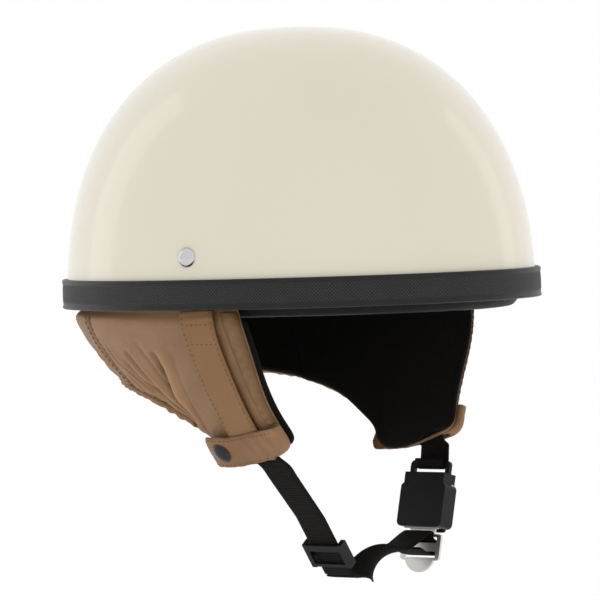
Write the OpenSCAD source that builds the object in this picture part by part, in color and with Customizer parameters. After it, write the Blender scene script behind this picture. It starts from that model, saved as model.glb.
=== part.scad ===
// Open face "pudding basin" motorcycle helmet with a leather neck curtain.
// Origin: middle of the head opening, in the plane of the rim trim's lower edge.
// +Z is up, the wearer looks along -Y, and the wearer's left side is +X.

/* [Shell] */
// Outside length of the shell, front to back
shell_l = 280; // [250:1:310]
// Outside width of the shell, side to side
shell_w = 230; // [205:1:255]
// Height of the crown above the rim plane
shell_h = 153.5; // [130:0.5:180]
// Wall of the shell
shell_t = 4; // [2.5:0.1:5]
// Fullness of the dome: 2 is an ellipse, more is boxier
shell_fullness = 2.3; // [2:0.1:2.8]

/* [Edge trim] */
// Height of the rubber channel on the outside
trim_h = 16.5; // [12:0.5:22]
// Height of its inner lip
trim_lip_h = 12; // [8:0.5:14]
// Thickness of its outer wall
trim_t = 3; // [2:0.1:4]
// Thickness of its inner lip
trim_lip_t = 1.7; // [1.2:0.1:2.2]

/* [Liner and headband] */
// Thickness of the energy absorbing liner
liner_t = 22; // [15:1:26]
// Thickness of the cloth crown lining
crown_lining_t = 2.5; // [1.5:0.5:4]
// Radial width of the headband roll
headband_w = 18; // [12:1:24]
// Height of the headband roll
headband_h = 20; // [14:1:24]
// How far the headband roll shows below the trim
headband_drop = 6; // [3:0.5:8]

/* [Leather curtain] */
// Depth of the curtain at the nape
nape_drop = 38; // [30:1:50]
// Depth of the ear flaps
flap_drop = 85; // [75:1:100]
// Angle from the nape round to the front edge of the ear flap
flap_angle = 107.5; // [100:0.5:112]
// How far the curtain swells outward between rim and hem
curtain_swell = 5; // [2:0.5:8]
// Thickness of the leather
leather_t = 1.4; // [1:0.1:2]
// Thickness of the fleece lining
fleece_t = 4; // [2:0.5:5]

/* [Chin strap] */
// Width of the webbing
web_w = 20; // [18:1:24]
// Thickness of the webbing
web_t = 1.6; // [1.2:0.1:2]
// Width of the leather sleeve over the webbing
sleeve_w = 22; // [22:1:30]
// Diameter of the strap rivet's dome
rivet_d = 11; // [8:0.5:14]
// Height of the strap rivets above the rim plane
rivet_z = 28.5; // [24:0.5:40]

/* [Snap keeper] */
// Width of the leather keeper strap
keeper_w = 17; // [14:1:20]
// Diameter of the snap cap
snap_d = 12; // [9:0.5:14]

/* [Buckle] */
// Width of the buckle housing
buckle_w = 31; // [28:1:36]
// Length of the buckle housing below its strap slot
buckle_l = 31; // [28:1:38]
// Thickness of the buckle housing
buckle_t = 11; // [10:0.5:13]
// Lean of the hanging buckle towards the chin
buckle_lean = 15; // [5:1:20]
// Width of the ratchet tongue
tongue_w = 17; // [15:0.5:18]
// Thickness of the tongue plate
tongue_t = 1.6; // [1.2:0.1:2]
// Pitch of the ratchet teeth
tooth_pitch = 2; // [1.5:0.1:3]
// Width of the strap slider
slider_w = 27; // [26:1:32]
// Length of the strap slider
slider_l = 16; // [15:1:20]

/* [Hidden] */
$fn = 48;

// Clearances between layers that only lie on each other, and round running pins.
gap = 0.3;
pin_gap = 0.05;
tiny = 0.01;

half_l = shell_l / 2;
half_w = shell_w / 2;
shell_foot = 2.2;
inner_wall = -shell_t - gap;
lip_out = inner_wall;
lip_in = lip_out - trim_lip_t;
web_slot = lip_in - 0.4;
leather_slot = web_slot - 2.4;
liner_z = headband_h - headband_drop + 1.5;
headband_out = leather_slot - leather_t - 1.1;

// ---- Shell family: ovals that are circles about Z, narrowed across the head ----

// Turns a profile round Z in four quarters, then narrows it across the head.
module oval() {
    scale([shell_w / shell_l, 1, 1]) for (turn = [0:90:270]) {
        rotate([0, 0, turn]) rotate_extrude(angle = 90, $fn = 144) children();
    }
}

// A closed soft ring round the rim, whose section is the outline line.
module oval_ring(line, turns) {
    count = len(line);
    points = [for (i = [0:turns - 1]) for (p = line)
        [p.x * half_w / half_l * sin(360 * i / turns), p.x * cos(360 * i / turns), p.y]];
    faces = [for (i = [0:turns - 1]) for (j = [0:count - 1])
        let (k = (i + 1) % turns, m = (j + 1) % count)
        each [[i * count + j, i * count + m, k * count + j],
            [i * count + m, k * count + m, k * count + j]]];
    polyhedron(points, faces);
}

// Radius of the dome at height z, for a surface offset outward by o.
function dome_r(z, o) = (half_l + o) * pow(1 - pow(min(1, z / (shell_h + o)), shell_fullness),
    1 / shell_fullness);

// Dome profile from height z0 to the crown; heights bunch up where the wall turns over.
function dome_line(z0, o, steps = 22) =
    let (top = shell_h + o, a0 = asin(z0 / top))
    [for (i = [0:steps]) let (z = top * sin(a0 + (90 - a0) * i / steps)) [max(0, dome_r(z, o)), z]];

function reversed(list) = [for (i = [len(list) - 1:-1:0]) list[i]];

module dome(z0, outer, inner) {
    oval() polygon(concat(dome_line(z0, outer), reversed(dome_line(z0, inner))));
}

// Point on an oval at angle a from the nape (right-hand side), offset o, height z.
function oval_point(a, o, z) = [-half_w * (1 + o / half_l) * sin(a), (half_l + o) * cos(a), z];

// ---- Rivets: where the chin strap is fixed through the shell ----

rivet_angle = 95.5;
rivet_shank_d = 5;
rivet_tilt = 5;
// Turn of the oval's outward normal there.
rivet_turn = atan2(-half_w * cos(rivet_angle), half_l * sin(rivet_angle));
plate_t = 1.2;
rivet_reach = dome_r(rivet_z, 0) / half_l;
// From the shell's outer face to the plate behind the webbing.
rivet_grip = shell_t + 3;

// Local +X points out of the shell along the rivet; the origin is on the outer surface.
module rivet_place() {
    p = oval_point(rivet_angle, 0, rivet_z);
    translate([p.x * rivet_reach, p.y, p.z]) rotate([0, 0, 180 + rivet_turn])
        rotate([0, -rivet_tilt, 0]) children();
}

module both_sides() {
    children();
    mirror([1, 0, 0]) children();
}

module rivet_bore(d) {
    rivet_place() rotate([0, 90, 0]) translate([0, 0, -30]) cylinder(d = d, h = 40);
}

// ---- Leather curtain: one surface from the rim to the hem ----

// Top line of the curtain, and how it moves in, along and down to reach the hem.
curtain_rim = -4;
// [inward, rearward, share of the extra depth of the ear flap] at nine even steps round.
hem_shape = [[0, -30, 0], [2, -29, 0], [5, -30, 0.04], [11, -28, 0.11], [18, -22, 0.2],
    [27, -19, 0.39], [38, -12, 0.69], [43, 1, 1.02], [39, -15, 1]];
rim_tuck = 0.06;
// The flap's front edge is hollow: how far the curtain draws back there, as a share of u.
front_dip = 0.02;
front_from = 0.8;
function drawn_back(u, s) = u - front_dip * pow(max(0, (u - front_from) / (1 - front_from)), 2)
    * sin(180 * pow(max(0, min(1, s)), 1.5));

function catmull(p0, p1, p2, p3, t) = 0.5 * (2 * p1 + (p2 - p0) * t
    + (2 * p0 - 5 * p1 + 4 * p2 - p3) * t * t + (3 * p1 - p0 - 3 * p2 + p3) * t * t * t);

function along(points, t) =
    let (n = len(points) - 1, i = max(0, min(n - 1, floor(t * n))), f = t * n - i,
        first = 2 * points[0] - points[1], last = 2 * points[n] - points[n - 1])
    catmull(i > 0 ? points[i - 1] : first, points[i], points[i + 1],
        i < n - 1 ? points[i + 2] : last, f);

function hem(u) =
    let (m = along(hem_shape, u), p = oval_point(flap_angle * u, curtain_rim, 0))
    [p.x + m[0], p.y + m[1], -nape_drop - (flap_drop - nape_drop) * m[2]];

function unit(v) = v / norm(v);

// Outer face of the leather on the right: u runs from the nape to the flap's front edge,
// s from rim to hem. A negative u is the mirror image on the left.
function right_curtain(whole_u, s) =
    let (u = drawn_back(whole_u, s), top = oval_point(flap_angle * u, curtain_rim, -gap), low = hem(u),
        out = unit([top.x + low.x, top.y + low.y, 0]),
        swell = curtain_swell * sin(180 * pow(max(0, min(1.3, s)), 0.8)),
        tuck = (leather_slot - curtain_rim) * exp(-pow(s / rim_tuck, 2)))
    top + (low - top) * s + out * (swell + tuck * (1 - 0.18 * sin(flap_angle * u)));

function flip(p) = [-p.x, p.y, p.z];

function curtain(u, s) = u < 0 ? flip(right_curtain(-u, s)) : right_curtain(u, s);

function curtain_normal(u, s) =
    let (d = 0.01, du = curtain(u + d, s) - curtain(u - d, s),
        ds = curtain(u, s + d) - curtain(u, max(0.001, s - d)))
    unit(cross(ds, du));

// The point n outside the leather's face.
function layer(u, s, n) = curtain(u, s) + curtain_normal(u, max(0.1, s)) * n;

// A closed solid from two grids of points, rows of equal length.
module slab(outer, inner) {
    rows = len(outer);
    cols = len(outer[0]);
    count = rows * cols;
    points = concat([for (r = outer) each r], [for (r = inner) each r]);
    faces = concat(
        [for (i = [0:rows - 2]) for (j = [0:cols - 2]) let (a = i * cols + j)
            each [[a, a + 1, a + cols], [a + 1, a + cols + 1, a + cols]]],
        [for (i = [0:rows - 2]) for (j = [0:cols - 2]) let (a = count + i * cols + j)
            each [[a, a + cols, a + 1], [a + 1, a + cols, a + cols + 1]]],
        [for (j = [0:cols - 2]) let (a = j, b = count + j) each [[a, b, a + 1], [a + 1, b, b + 1]]],
        [for (j = [0:cols - 2]) let (a = (rows - 1) * cols + j, b = count + a)
            each [[a, a + 1, b], [a + 1, b + 1, b]]],
        [for (i = [0:rows - 2]) let (a = i * cols, b = count + a)
            each [[a, a + cols, b], [b, a + cols, b + cols]]],
        [for (i = [0:rows - 2]) let (a = i * cols + cols - 1, b = count + a)
            each [[a, b, a + cols], [b, b + cols, a + cols]]]);
    polyhedron(points, faces);
}

function steps(a, b, n) = [for (i = [0:n]) a + (b - a) * i / n];

// The flap's lower front corner is round: both directions pull in towards it.
corner_u = 0.04;
corner_s = 0.08;
function corner_pull(u, s) = pow(max(0, (u - 0.86) / 0.14), 2) * pow(max(0, (s - 0.8) / 0.2), 2);
function round_u(u, s) = u - corner_u * corner_pull(u, s);
function round_s(u, s) = s - corner_s * corner_pull(u, s);
function corner_layer(u, s, n) = layer(round_u(u, s), round_s(u, s), n);

module curtain_piece(us, ss, outer, inner) {
    slab([for (s = ss) [for (u = us) corner_layer(u, s, outer)]],
        [for (s = ss) [for (u = us) corner_layer(u, s, inner)]]);
}

// The leather also has a flange that stands up inside the trim.
flange_h = 9;
function flange_row(us, n) = [for (u = us)
    oval_point(flap_angle * u, leather_slot + n * 1.22, flange_h)];
function leather_grid(us, ss, n) = concat([flange_row(us, n)],
    [for (s = ss) [for (u = us) corner_layer(u, s, n)]]);

module leather_piece(us, ss) {
    slab(leather_grid(us, ss, 0), leather_grid(us, ss, -leather_t));
}

seam_u = 0.5;
seam_gap = 0.002;
fleece_out = -leather_t - gap;
fleece_in = fleece_out - fleece_t;
leather_rows = concat([0, 0.03, 0.07, 0.13], steps(0.2, 1, 8));
fleece_rows = concat([0.05, 0.1], steps(0.18, 1, 7));

// ---- Flat straps: a ribbon swept along frames of [centre, width direction] ----

function ribbon_edge(frames, w, n) = [for (i = [0:len(frames) - 1])
    let (c = frames[i][0], side = unit(frames[i][1]),
        ahead = frames[min(len(frames) - 1, i + 1)][0] - frames[max(0, i - 1)][0],
        face = unit(cross(unit(ahead), side)))
    [for (k = [-1, 0, 1]) c + side * k * w / 2 + face * n]];

module ribbon(frames, w, t) {
    slab(ribbon_edge(frames, w, t / 2), ribbon_edge(frames, w, -t / 2));
}

// Webbing over the flap: middle line, and the slant towards the chin below the sleeve.
web_u = 0.9;
web_slant = 0.035;
web_n = gap + web_t / 2;
exit_start = 0.8;
function web_middle(s, swing) = web_u + web_slant * s
    + swing * pow(max(0, (s - exit_start) / (1 - exit_start)), 2);
function web_frame(s, swing) =
    let (u = web_middle(s, swing))
    [layer(u, s, web_n), layer(u + 0.02, s, web_n) - layer(u - 0.02, s, web_n)];
function rim_frame(o, z) = [oval_point(rivet_angle + 1, o, z),
    oval_point(rivet_angle + 4, o, z) - oval_point(rivet_angle - 2, o, z)];
// The flat webbing bows away from the curved lip by this much at its edges.
web_bow = web_w * web_w / (8 * half_l) - 0.25;
web_lip = web_slot - web_t / 2 - gap - web_bow;
// The dome leans in with height, and so does the webbing behind it.
function lean_in(z) = (dome_r(z, 0) - half_l) * half_w / half_l;
wall_room = 3.2;
function wall_frame(z) = rim_frame(lean_in(z) - shell_t - wall_room, z);
strap_top = [wall_frame(rivet_z + 9), wall_frame(rivet_z), wall_frame(trim_lip_h + 6),
    rim_frame(web_lip, trim_lip_h), rim_frame(web_lip, 1)];
flap_rows = [0.06, 0.14, 0.25, 0.4, 0.55, 0.7, 0.8, 0.87, 0.94, 1];
function flap_frames(swing) = [for (s = flap_rows) web_frame(s, swing)];

// Right strap below the flap: straight where the slider runs.
slider_at = [-33.5, -41, -137];
slider_dir = unit([0.58, 0, -0.81]);
slider_side = [0, -1, 0];
run_up = 26;
run_down = 15;
right_swing = 0.012;
left_swing = 0.03;
right_hem = web_frame(1, right_swing);
run_start = slider_at - slider_dir * run_up;
right_free = concat([for (t = [0.2:0.2:0.8]) [right_hem[0] + (run_start - right_hem[0]) * t,
        unit(right_hem[1]) * (1 - t) + slider_side * t]],
    [[run_start, slider_side], [slider_at + slider_dir * run_down, slider_side]]);

// Lower strap: from the slider under the chin, with a half twist, up to the buckle.
lower_route = [slider_at + slider_dir * (run_down + 1), [-17, -41.5, -150.8], [-8.5, -42, -149.4],
    [0.5, -42, -146.6], [9.5, -42, -143.8], [18.5, -41.5, -141.4], [27, -41, -139.5]];
lower_steps = 18;
twist_from = 0.15;
function twist_side(angle) = [0.2 * sin(angle), cos(angle), sin(angle)];
function lower_frames() = [for (i = [0:lower_steps]) let (t = i / lower_steps,
    turn = 90 * (1 - cos(180 * max(0, (t - twist_from) / (1 - twist_from)))))
    [along(lower_route, t), twist_side(turn)]];

// ---- Buckle: its own frame, origin on the strap bar, -Z down the housing, +X outward ----

bar_at = [63.8, -40.5, -94.2];
bar_t = 2.4;
arm_t = 3;
slot_w = web_w + 1.4;
// The webbing's middle line passes the square bar's corners with a small gap.
bar_lap = bar_t / 2 * sqrt(2) + gap + web_t / 2;
// Height of the open part of the slot below the webbing's loop.
slot_light = 2.2;
slot_h = bar_lap + web_t / 2 + gap - bar_t / 2 + slot_light;
lever_w = 21;
lever_pin_d = 2.5;
lever_pin_z = -13;
lever_pin_x = buckle_t / 2 - 2.1;
lever_hub_d = 3.6;
channel_t = tongue_t + 1.3;
channel_w = tongue_w + 0.8;
housing_top = -bar_t / 2 - slot_h;
housing_end = housing_top - buckle_l;
tooth_h = 0.5;

module buckle_place() {
    translate(bar_at) rotate([0, buckle_lean, 0]) children();
}

// Rounded rectangle from exact arcs, from corner [y0, z0] to [y1, z1].
module round_rect(y0, z0, y1, z1, r) {
    translate([y0 + r, z0]) square([y1 - y0 - 2 * r, z1 - z0]);
    translate([y0, z0 + r]) square([y1 - y0, z1 - z0 - 2 * r]);
    for (y = [y0 + r, y1 - r]) {
        for (z = [z0 + r, z1 - r]) {
            translate([y, z]) circle(r);
        }
    }
}

// A plate whose outline lies in Y and Z, from x0 to x1.
module plate(x0, x1) {
    translate([x0, 0, 0]) rotate([90, 0, 90]) linear_extrude(x1 - x0) children();
}

module block(x0, x1, y, z0, z1) {
    translate([x0, -y, z0]) cube([x1 - x0, 2 * y, z1 - z0]);
}

module cross_pin(x, z, d, half) {
    translate([x, half, z]) rotate([90, 0, 0]) cylinder(d = d, h = 2 * half);
}

module outer_shell() {
    color("#e3dcca") difference() {
        dome(shell_foot, 0, -shell_t);
        both_sides() rivet_bore(rivet_shank_d + 2 * pin_gap);
    }
}

function arc(x, y, rx, ry, a0, a1, n) = [for (i = [0:n])
    let (a = a0 + (a1 - a0) * i / n) [x + rx * cos(a), y + ry * sin(a)]];

// Rubber U channel over the shell's edge: outer wall, web under the edge and inner lip.
module edge_trim() {
    bead = (trim_t - 0.2) / 2;
    toe = 2;
    heel = 0.8;
    line = concat(arc(trim_t - toe, toe, toe, toe, -90, 0, 3),
        arc(trim_t - bead, trim_h - bead, bead, bead, 0, 180, 4),
        [[0.2, shell_foot - 0.2], [lip_out, shell_foot - 0.2], [lip_out, trim_lip_h],
            [lip_in, trim_lip_h]],
        arc(lip_in + heel, heel, heel, heel, 180, 270, 2));
    color("#302f2d") oval_ring([for (p = line) [half_l + p.x, p.y]], 80);
}

pocket_w = 30;
pocket_depth = 8;

module impact_liner() {
    color("#26262a") difference() {
        dome(liner_z, inner_wall, inner_wall - liner_t);
        // Pockets for the strap's fixing plates, open at the liner's foot.
        both_sides() rivet_place() translate([-shell_t - pocket_depth, -pocket_w / 2,
                liner_z - rivet_z - 6])
            cube([shell_t + pocket_depth, pocket_w, rivet_z - liner_z + 18]);
    }
}

module crown_lining() {
    lining_out = inner_wall - liner_t - gap;
    color("#14120f") dome(liner_z + 2, lining_out, lining_out - crown_lining_t);
}

module headband() {
    rx = headband_w / 2;
    ry = headband_h / 2;
    color("#232321")
        oval_ring(arc(half_l + headband_out - rx, ry - headband_drop, rx, ry, 0, 330, 11), 64);
}

// Domed head, shank through shell and webbing, and a flared tail.
module strap_rivets() {
    dome_h = rivet_d * 0.34;
    ball = (rivet_d * rivet_d / 4 + dome_h * dome_h) / (2 * dome_h);
    tail = rivet_grip + plate_t + 0.1;
    color("#c9cacc") both_sides() rivet_place() rotate([0, 90, 0]) {
        intersection() {
            translate([0, 0, 0.2 + dome_h - ball]) sphere(ball);
            translate([0, 0, 0.2]) cylinder(d = rivet_d, h = dome_h + 1);
        }
        translate([0, 0, -tail]) cylinder(d = rivet_shank_d, h = tail + 0.3);
        translate([0, 0, -tail - 1]) cylinder(d = rivet_shank_d + 3, h = 1);
    }
}

module rivet_plates() {
    color("#9b9c9f") both_sides() rivet_place() difference() {
        plate(-rivet_grip - plate_t, -rivet_grip) round_rect(-11, -7, 11, 7, 3);
        rotate([0, 90, 0]) translate([0, 0, -20]) cylinder(d = rivet_shank_d + 2 * pin_gap, h = 20);
    }
}

module nape_panel() {
    us = steps(-seam_u + seam_gap, seam_u - seam_gap, 24);
    color("#98795f") leather_piece(us, leather_rows);
}

module side_leather() {
    color("#98795f") leather_piece(steps(seam_u + seam_gap, 1, 12), leather_rows);
}

module side_panel_right() {
    side_leather();
}

module side_panel_left() {
    mirror([1, 0, 0]) side_leather();
}

module nape_lining() {
    color("#110f0a")
        curtain_piece(steps(-seam_u + seam_gap, seam_u - seam_gap, 18), fleece_rows, fleece_out,
            fleece_in);
}

module flap_fleece() {
    color("#110f0a")
        curtain_piece(steps(seam_u + seam_gap, 1.008, 10), fleece_rows, fleece_out, fleece_in);
}

module flap_lining_right() {
    flap_fleece();
}

module flap_lining_left() {
    mirror([1, 0, 0]) flap_fleece();
}

// Elastic cord casing that gathers the nape hem.
module nape_elastic() {
    us = steps(-0.7, 0.7, 24);
    ss = [0.93, 0.985];
    color("#8a6b50") curtain_piece(us, ss, gap + casing_t, gap);
}

// Thickness of the sleeve's and the casing's thin leather.
sleeve_t = 1.2;
casing_t = 1.6;

module sleeve() {
    rows = concat([0.07, 0.14], steps(0.22, 0.97, 7));
    n0 = gap + web_t + gap + 0.1;
    function half(s) = sleeve_w / 2 * 0.02 / norm(layer(web_u + 0.01, s, n0)
        - layer(web_u - 0.01, s, n0));
    function cols(s) = steps(web_u + web_slant * s - half(s), web_u + web_slant * s + half(s), 4);
    color("#886748") slab([for (s = rows) [for (u = cols(s)) layer(u, s, n0 + sleeve_t)]],
        [for (s = rows) [for (u = cols(s)) layer(u, s, n0)]]);
}

module strap_sleeve_right() {
    sleeve();
}

module strap_sleeve_left() {
    mirror([1, 0, 0]) sleeve();
}

roll_end = 0.71;
roll_from = 0.955;
roll_slant = 0.03;

module front_roll() {
    // The roll ends just above the keeper.
    rows = concat([0.07, 0.14], steps(0.22, roll_end, 6));
    heights = [0.2, 2, 2.6, 2, 0.2];
    function cols(s) = steps(roll_from + roll_slant * s, 0.996, 4);
    color("#98795f") slab(
        [for (s = rows) [for (j = [0:4]) corner_layer(cols(s)[j], s, gap + heights[j])]],
        [for (s = rows) [for (j = [0:4]) corner_layer(cols(s)[j], s, gap)]]);
}

module front_roll_right() {
    front_roll();
}

module front_roll_left() {
    mirror([1, 0, 0]) front_roll();
}

// ---- Snap keeper: a leather strap folded round the flap's front edge ----

keeper_n = web_t + sleeve_t + 4 * gap;
keeper_front_z = -71.5;
keeper_rear_z = -76.5;
// The keeper widens towards its fold by this share.
keeper_flare = 0.18;
keeper_end_u = 0.79;
keeper_fold_u = 1;
// The sewn run under the fold, on the leather between its front edge and the webbing.
keeper_sewn_t = 0.03;
// Where the outer run starts, and where the fold does, either side of the hinge.
keeper_start_t = 0.04;
keeper_start_turn = 24;

// Point of the keeper: t from the front fold to the rear end, v across from top to bottom.
function keeper_point(t, v, n) =
    let (u = keeper_fold_u + (keeper_end_u - keeper_fold_u) * t,
        half = keeper_w / 2 * (1 + keeper_flare * max(0, 1 - 2 * t)),
        z = keeper_front_z + (keeper_rear_z - keeper_front_z) * min(1, 2 * t) - v * half)
    corner_layer(u, z / hem(u).z, n);

keeper_cols = [-1, -0.5, 0, 0.5, 1];
hinge_top = keeper_point(0, -1, keeper_n + leather_t / 2);
hinge_low = keeper_point(0, 1, keeper_n + leather_t / 2);

module keeper_outer() {
    // The rear end is cut to a blunt point.
    rows = concat(steps(keeper_start_t, 0.86, 9), [0.93, 1]);
    function narrow(t) = t > 0.86 ? 1 - 0.55 * pow((t - 0.86) / 0.14, 2) : 1;
    color("#87684c") difference() {
        slab([for (t = rows) [for (v = keeper_cols) keeper_point(t, v * narrow(t),
                keeper_n + leather_t)]],
            [for (t = rows) [for (v = keeper_cols) keeper_point(t, v * narrow(t), keeper_n)]]);
        snap_place() translate([0, 0, -1]) cylinder(d = snap_post_d + 0.2, h = 12);
    }
}

// Fold at the flap's front edge, and the short run that is sewn to the leather.
module keeper_fold() {
    middle = (keeper_n + leather_t + gap) / 2;
    reach = middle - gap - leather_t;
    function fold(a, v, n) =
        let (base = keeper_point(0, v, middle), out = unit(base - keeper_point(0.03, v, middle)),
            face = unit(keeper_point(0, v, middle + 1) - base))
        base + out * (sin(a) * (reach + n)) + face * (cos(a) * (reach + n));
    turns = steps(keeper_start_turn, 172, 8);
    runs = steps(0.02, keeper_sewn_t, 1);
    color("#87684c") slab(
        concat([for (a = turns) [for (v = keeper_cols) fold(a, v, leather_t)]],
            [for (t = runs) [for (v = keeper_cols) keeper_point(t, v, gap)]]),
        concat([for (a = turns) [for (v = keeper_cols) fold(a, v, 0)]],
            [for (t = runs) [for (v = keeper_cols) keeper_point(t, v, gap + leather_t)]]));
}

module keeper_back_right() {
    keeper_fold();
}

module keeper_back_left() {
    mirror([1, 0, 0]) keeper_fold();
}

module keeper_tab_right() {
    keeper_outer();
}

module keeper_tab_left() {
    mirror([1, 0, 0]) keeper_outer();
}

// The snap stands square on the leather near the flap's rear lower corner.
snap_t = 0.66;
snap_post_d = 3;
snap_base = keeper_point(snap_t, 0, 0);
snap_axis = unit(keeper_point(snap_t, 0, 1) - snap_base);

module snap_place() {
    translate(snap_base) rotate([0, acos(snap_axis.z), atan2(snap_axis.y, snap_axis.x)]) children();
}

module cap() {
    rise = snap_d * 0.16;
    ball = (snap_d * snap_d / 4 + rise * rise) / (2 * rise);
    face = keeper_n + leather_t + 0.45;
    color("#383636") snap_place() {
        intersection() {
            translate([0, 0, face + rise - ball]) sphere(ball);
            translate([0, 0, face]) cylinder(d = snap_d, h = rise + 1);
        }
        translate([0, 0, keeper_n - 0.2]) cylinder(d = snap_post_d, h = face - keeper_n + 0.3);
    }
}

module snap_cap_right() {
    cap();
}

module snap_cap_left() {
    mirror([1, 0, 0]) cap();
}

stud_ball_d = 3.6;
stud_h = keeper_n - 0.4;

module socket() {
    color("#8d8d90") snap_place() difference() {
        translate([0, 0, 1.3]) cylinder(d = 8, h = keeper_n - 0.6 - 1.3);
        translate([0, 0, -1]) cylinder(d = stud_ball_d + 0.6, h = stud_h + 1);
    }
}

module snap_socket_right() {
    socket();
}

module snap_socket_left() {
    mirror([1, 0, 0]) socket();
}

module stud() {
    color("#8d8d90") snap_place() {
        translate([0, 0, 0.25]) cylinder(d = 8, h = 0.8);
        translate([0, 0, 0.25]) cylinder(d = stud_ball_d - 0.8, h = stud_h - 1);
        translate([0, 0, stud_h - 1.4]) cylinder(d = stud_ball_d, h = 0.9);
    }
}

module snap_stud_right() {
    stud();
}

module snap_stud_left() {
    mirror([1, 0, 0]) stud();
}

module strap_right() {
    color("#1d1918") difference() {
        ribbon(concat(strap_top, flap_frames(right_swing), right_free), web_w, web_t);
        rivet_bore(rivet_shank_d + 0.4);
    }
}

// Left strap: down to the buckle bar, round it and a short way back up.
module strap_left() {
    bar = bar_at;
    function at_bar(a) = [bar + bar_lap * [cos(a), 0, sin(a)], [0, -1, 0]];
    loop = [for (a = [20:-25:-205]) at_bar(a)];
    back = [[bar + [-bar_lap, 0, 3], [0, -1, 0]]];
    flap = [for (f = concat(strap_top, flap_frames(left_swing))) [flip(f[0]), flip(f[1])]];
    color("#1d1918") difference() {
        ribbon(concat(flap, loop, back), web_w, web_t);
        mirror([1, 0, 0]) rivet_bore(rivet_shank_d + 0.4);
    }
}

// Two outer bars in front of the webbing, a middle bar behind it, and two side rails.
module strap_slider() {
    bar = 1.6;
    rail = (slider_w - web_w) / 2 - 0.5;
    lean = atan2(slider_dir.x, -slider_dir.z);
    near = web_t / 2 + gap;
    color("#222023") translate(slider_at) rotate([0, -lean, 0]) {
        for (y = [-slider_w / 2, slider_w / 2 - rail]) {
            translate([-near - bar, y, -slider_l / 2]) cube([2 * (near + bar), rail, slider_l]);
        }
        // The upper bar is broad, the lower one narrow.
        translate([-near - bar, -slider_w / 2 + tiny, slider_l / 2 - 4.5])
            cube([bar, slider_w - 2 * tiny, 4]);
        translate([-near - bar, -slider_w / 2 + tiny, -slider_l / 2 + 0.5])
            cube([bar, slider_w - 2 * tiny, 2]);
        translate([near, -slider_w / 2 + tiny, -2.5]) cube([bar, slider_w - 2 * tiny, 5]);
    }
}

module strap_lower() {
    color("#1d1918") ribbon(lower_frames(), web_w, web_t);
}

// ---- Buckle pieces ----

tongue_top = lever_pin_z + 1;
tongue_bar_z = -48.2;
tongue_bar_h = 5;
tongue_slot_h = 3.4;
tongue_frame = tongue_bar_h / 2 + tongue_slot_h + 1.6;
tongue_end_z = -62.5;
tongue_end_r = 10.4;
tongue_wide = web_w + 7;

// Webbing that joins the lower strap and goes round the tongue's bar.
module strap_end_loop() {
    lap_x = tongue_t / 2 + 2.1;
    lap_z = tongue_bar_h / 2 + gap + web_t / 2;
    route_end = lower_route[len(lower_route) - 1];
    side = [0, -1, 0];
    bar_mid = bar_at + [sin(buckle_lean) * tongue_bar_z, 0, cos(buckle_lean) * tongue_bar_z];
    function local(x, z) = [bar_mid + [x * cos(buckle_lean) + z * sin(buckle_lean), 0,
        -x * sin(buckle_lean) + z * cos(buckle_lean)], side];
    color("#1d1918") ribbon([[route_end + [0.5, 0, 0.2], side], [route_end + [7, 0, 2.5], side],
        local(-5, lap_z + 4.4), local(-2.8, lap_z + 1.4), local(0, lap_z + 0.3), local(lap_x, lap_z - 0.8),
        local(lap_x, 0.8 - lap_z), local(0, -lap_z - 0.3), local(-2.8, -lap_z - 0.4),
        local(-7, -lap_z - 0.5), local(-13, -lap_z + 1)], web_w, web_t);
}

module buckle_outline() {
    round_rect(-buckle_w / 2, housing_end, buckle_w / 2, housing_top - 6, 3);
    round_rect(-slot_w / 2 - arm_t, housing_end + 6, slot_w / 2 + arm_t, bar_t / 2, 2.5);
}

module buckle_housing() {
    half_t = buckle_t / 2;
    color("#252122") buckle_place() difference() {
        union() {
            plate(-half_t, half_t) intersection() {
                buckle_outline();
                translate([-buckle_w, housing_end - 1]) square([2 * buckle_w, buckle_l + 1]);
            }
            plate(-bar_t / 2, bar_t / 2) buckle_outline();
        }
        // Strap slot above the housing.
        block(-buckle_t, buckle_t, slot_w / 2, housing_top, -bar_t / 2);
        // Tongue channel, open at the bottom, and the seat of the steel plate beside it.
        block(-channel_t / 2, channel_t / 2, channel_w / 2, housing_end - 1, housing_top - 2.5);
        block(-channel_t / 2 - 1.3, -channel_t / 2 + tiny, 12, housing_end - 1, tongue_top + 1);
        // Bay for the lever, open to the outside and at the bottom.
        block(channel_t / 2 + 0.8, buckle_t, lever_w / 2 + gap, housing_end - 1, lever_pin_z + 3);
        // Window for the pawl.
        block(0, buckle_t, 5.5, housing_end + 3, lever_pin_z - 6);
        cross_pin(lever_pin_x, lever_pin_z, lever_hub_d + 2 * gap, lever_w / 2 + gap);
        cross_pin(lever_pin_x, lever_pin_z, lever_pin_d, buckle_w / 2 - 1.5);
    }
}

module buckle_plate() {
    color("#b9b7b2") buckle_place()
        block(-channel_t / 2 - 1.1, -channel_t / 2 - 0.1, 11.8, housing_end - 0.8, tongue_top);
}

module release_lever() {
    face = buckle_t / 2 + 1.6;
    floor_x = channel_t / 2 + 0.8 + 2 * gap;
    color("#474348") buckle_place() difference() {
        union() {
            block(floor_x + 0.4, face - 0.6, lever_w / 2, housing_end + 0.5, lever_pin_z - 0.5);
            cross_pin(lever_pin_x, lever_pin_z, lever_hub_d, lever_w / 2);
            plate(face - 1.2, face) round_rect(-lever_w / 2, housing_end - 1.5, lever_w / 2,
                lever_pin_z - 1, 2);
        }
        cross_pin(lever_pin_x, lever_pin_z, lever_pin_d + 2 * pin_gap, lever_w);
        // Gap in the hub for the return spring, and the pawl's seat.
        block(0, buckle_t / 2 + 0.3, 3.4, lever_pin_z - 2.6, lever_pin_z + 3);
        block(0, floor_x + 1, 4.6, pawl_z - 2.2, pawl_z + 2.2);
    }
}

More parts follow.
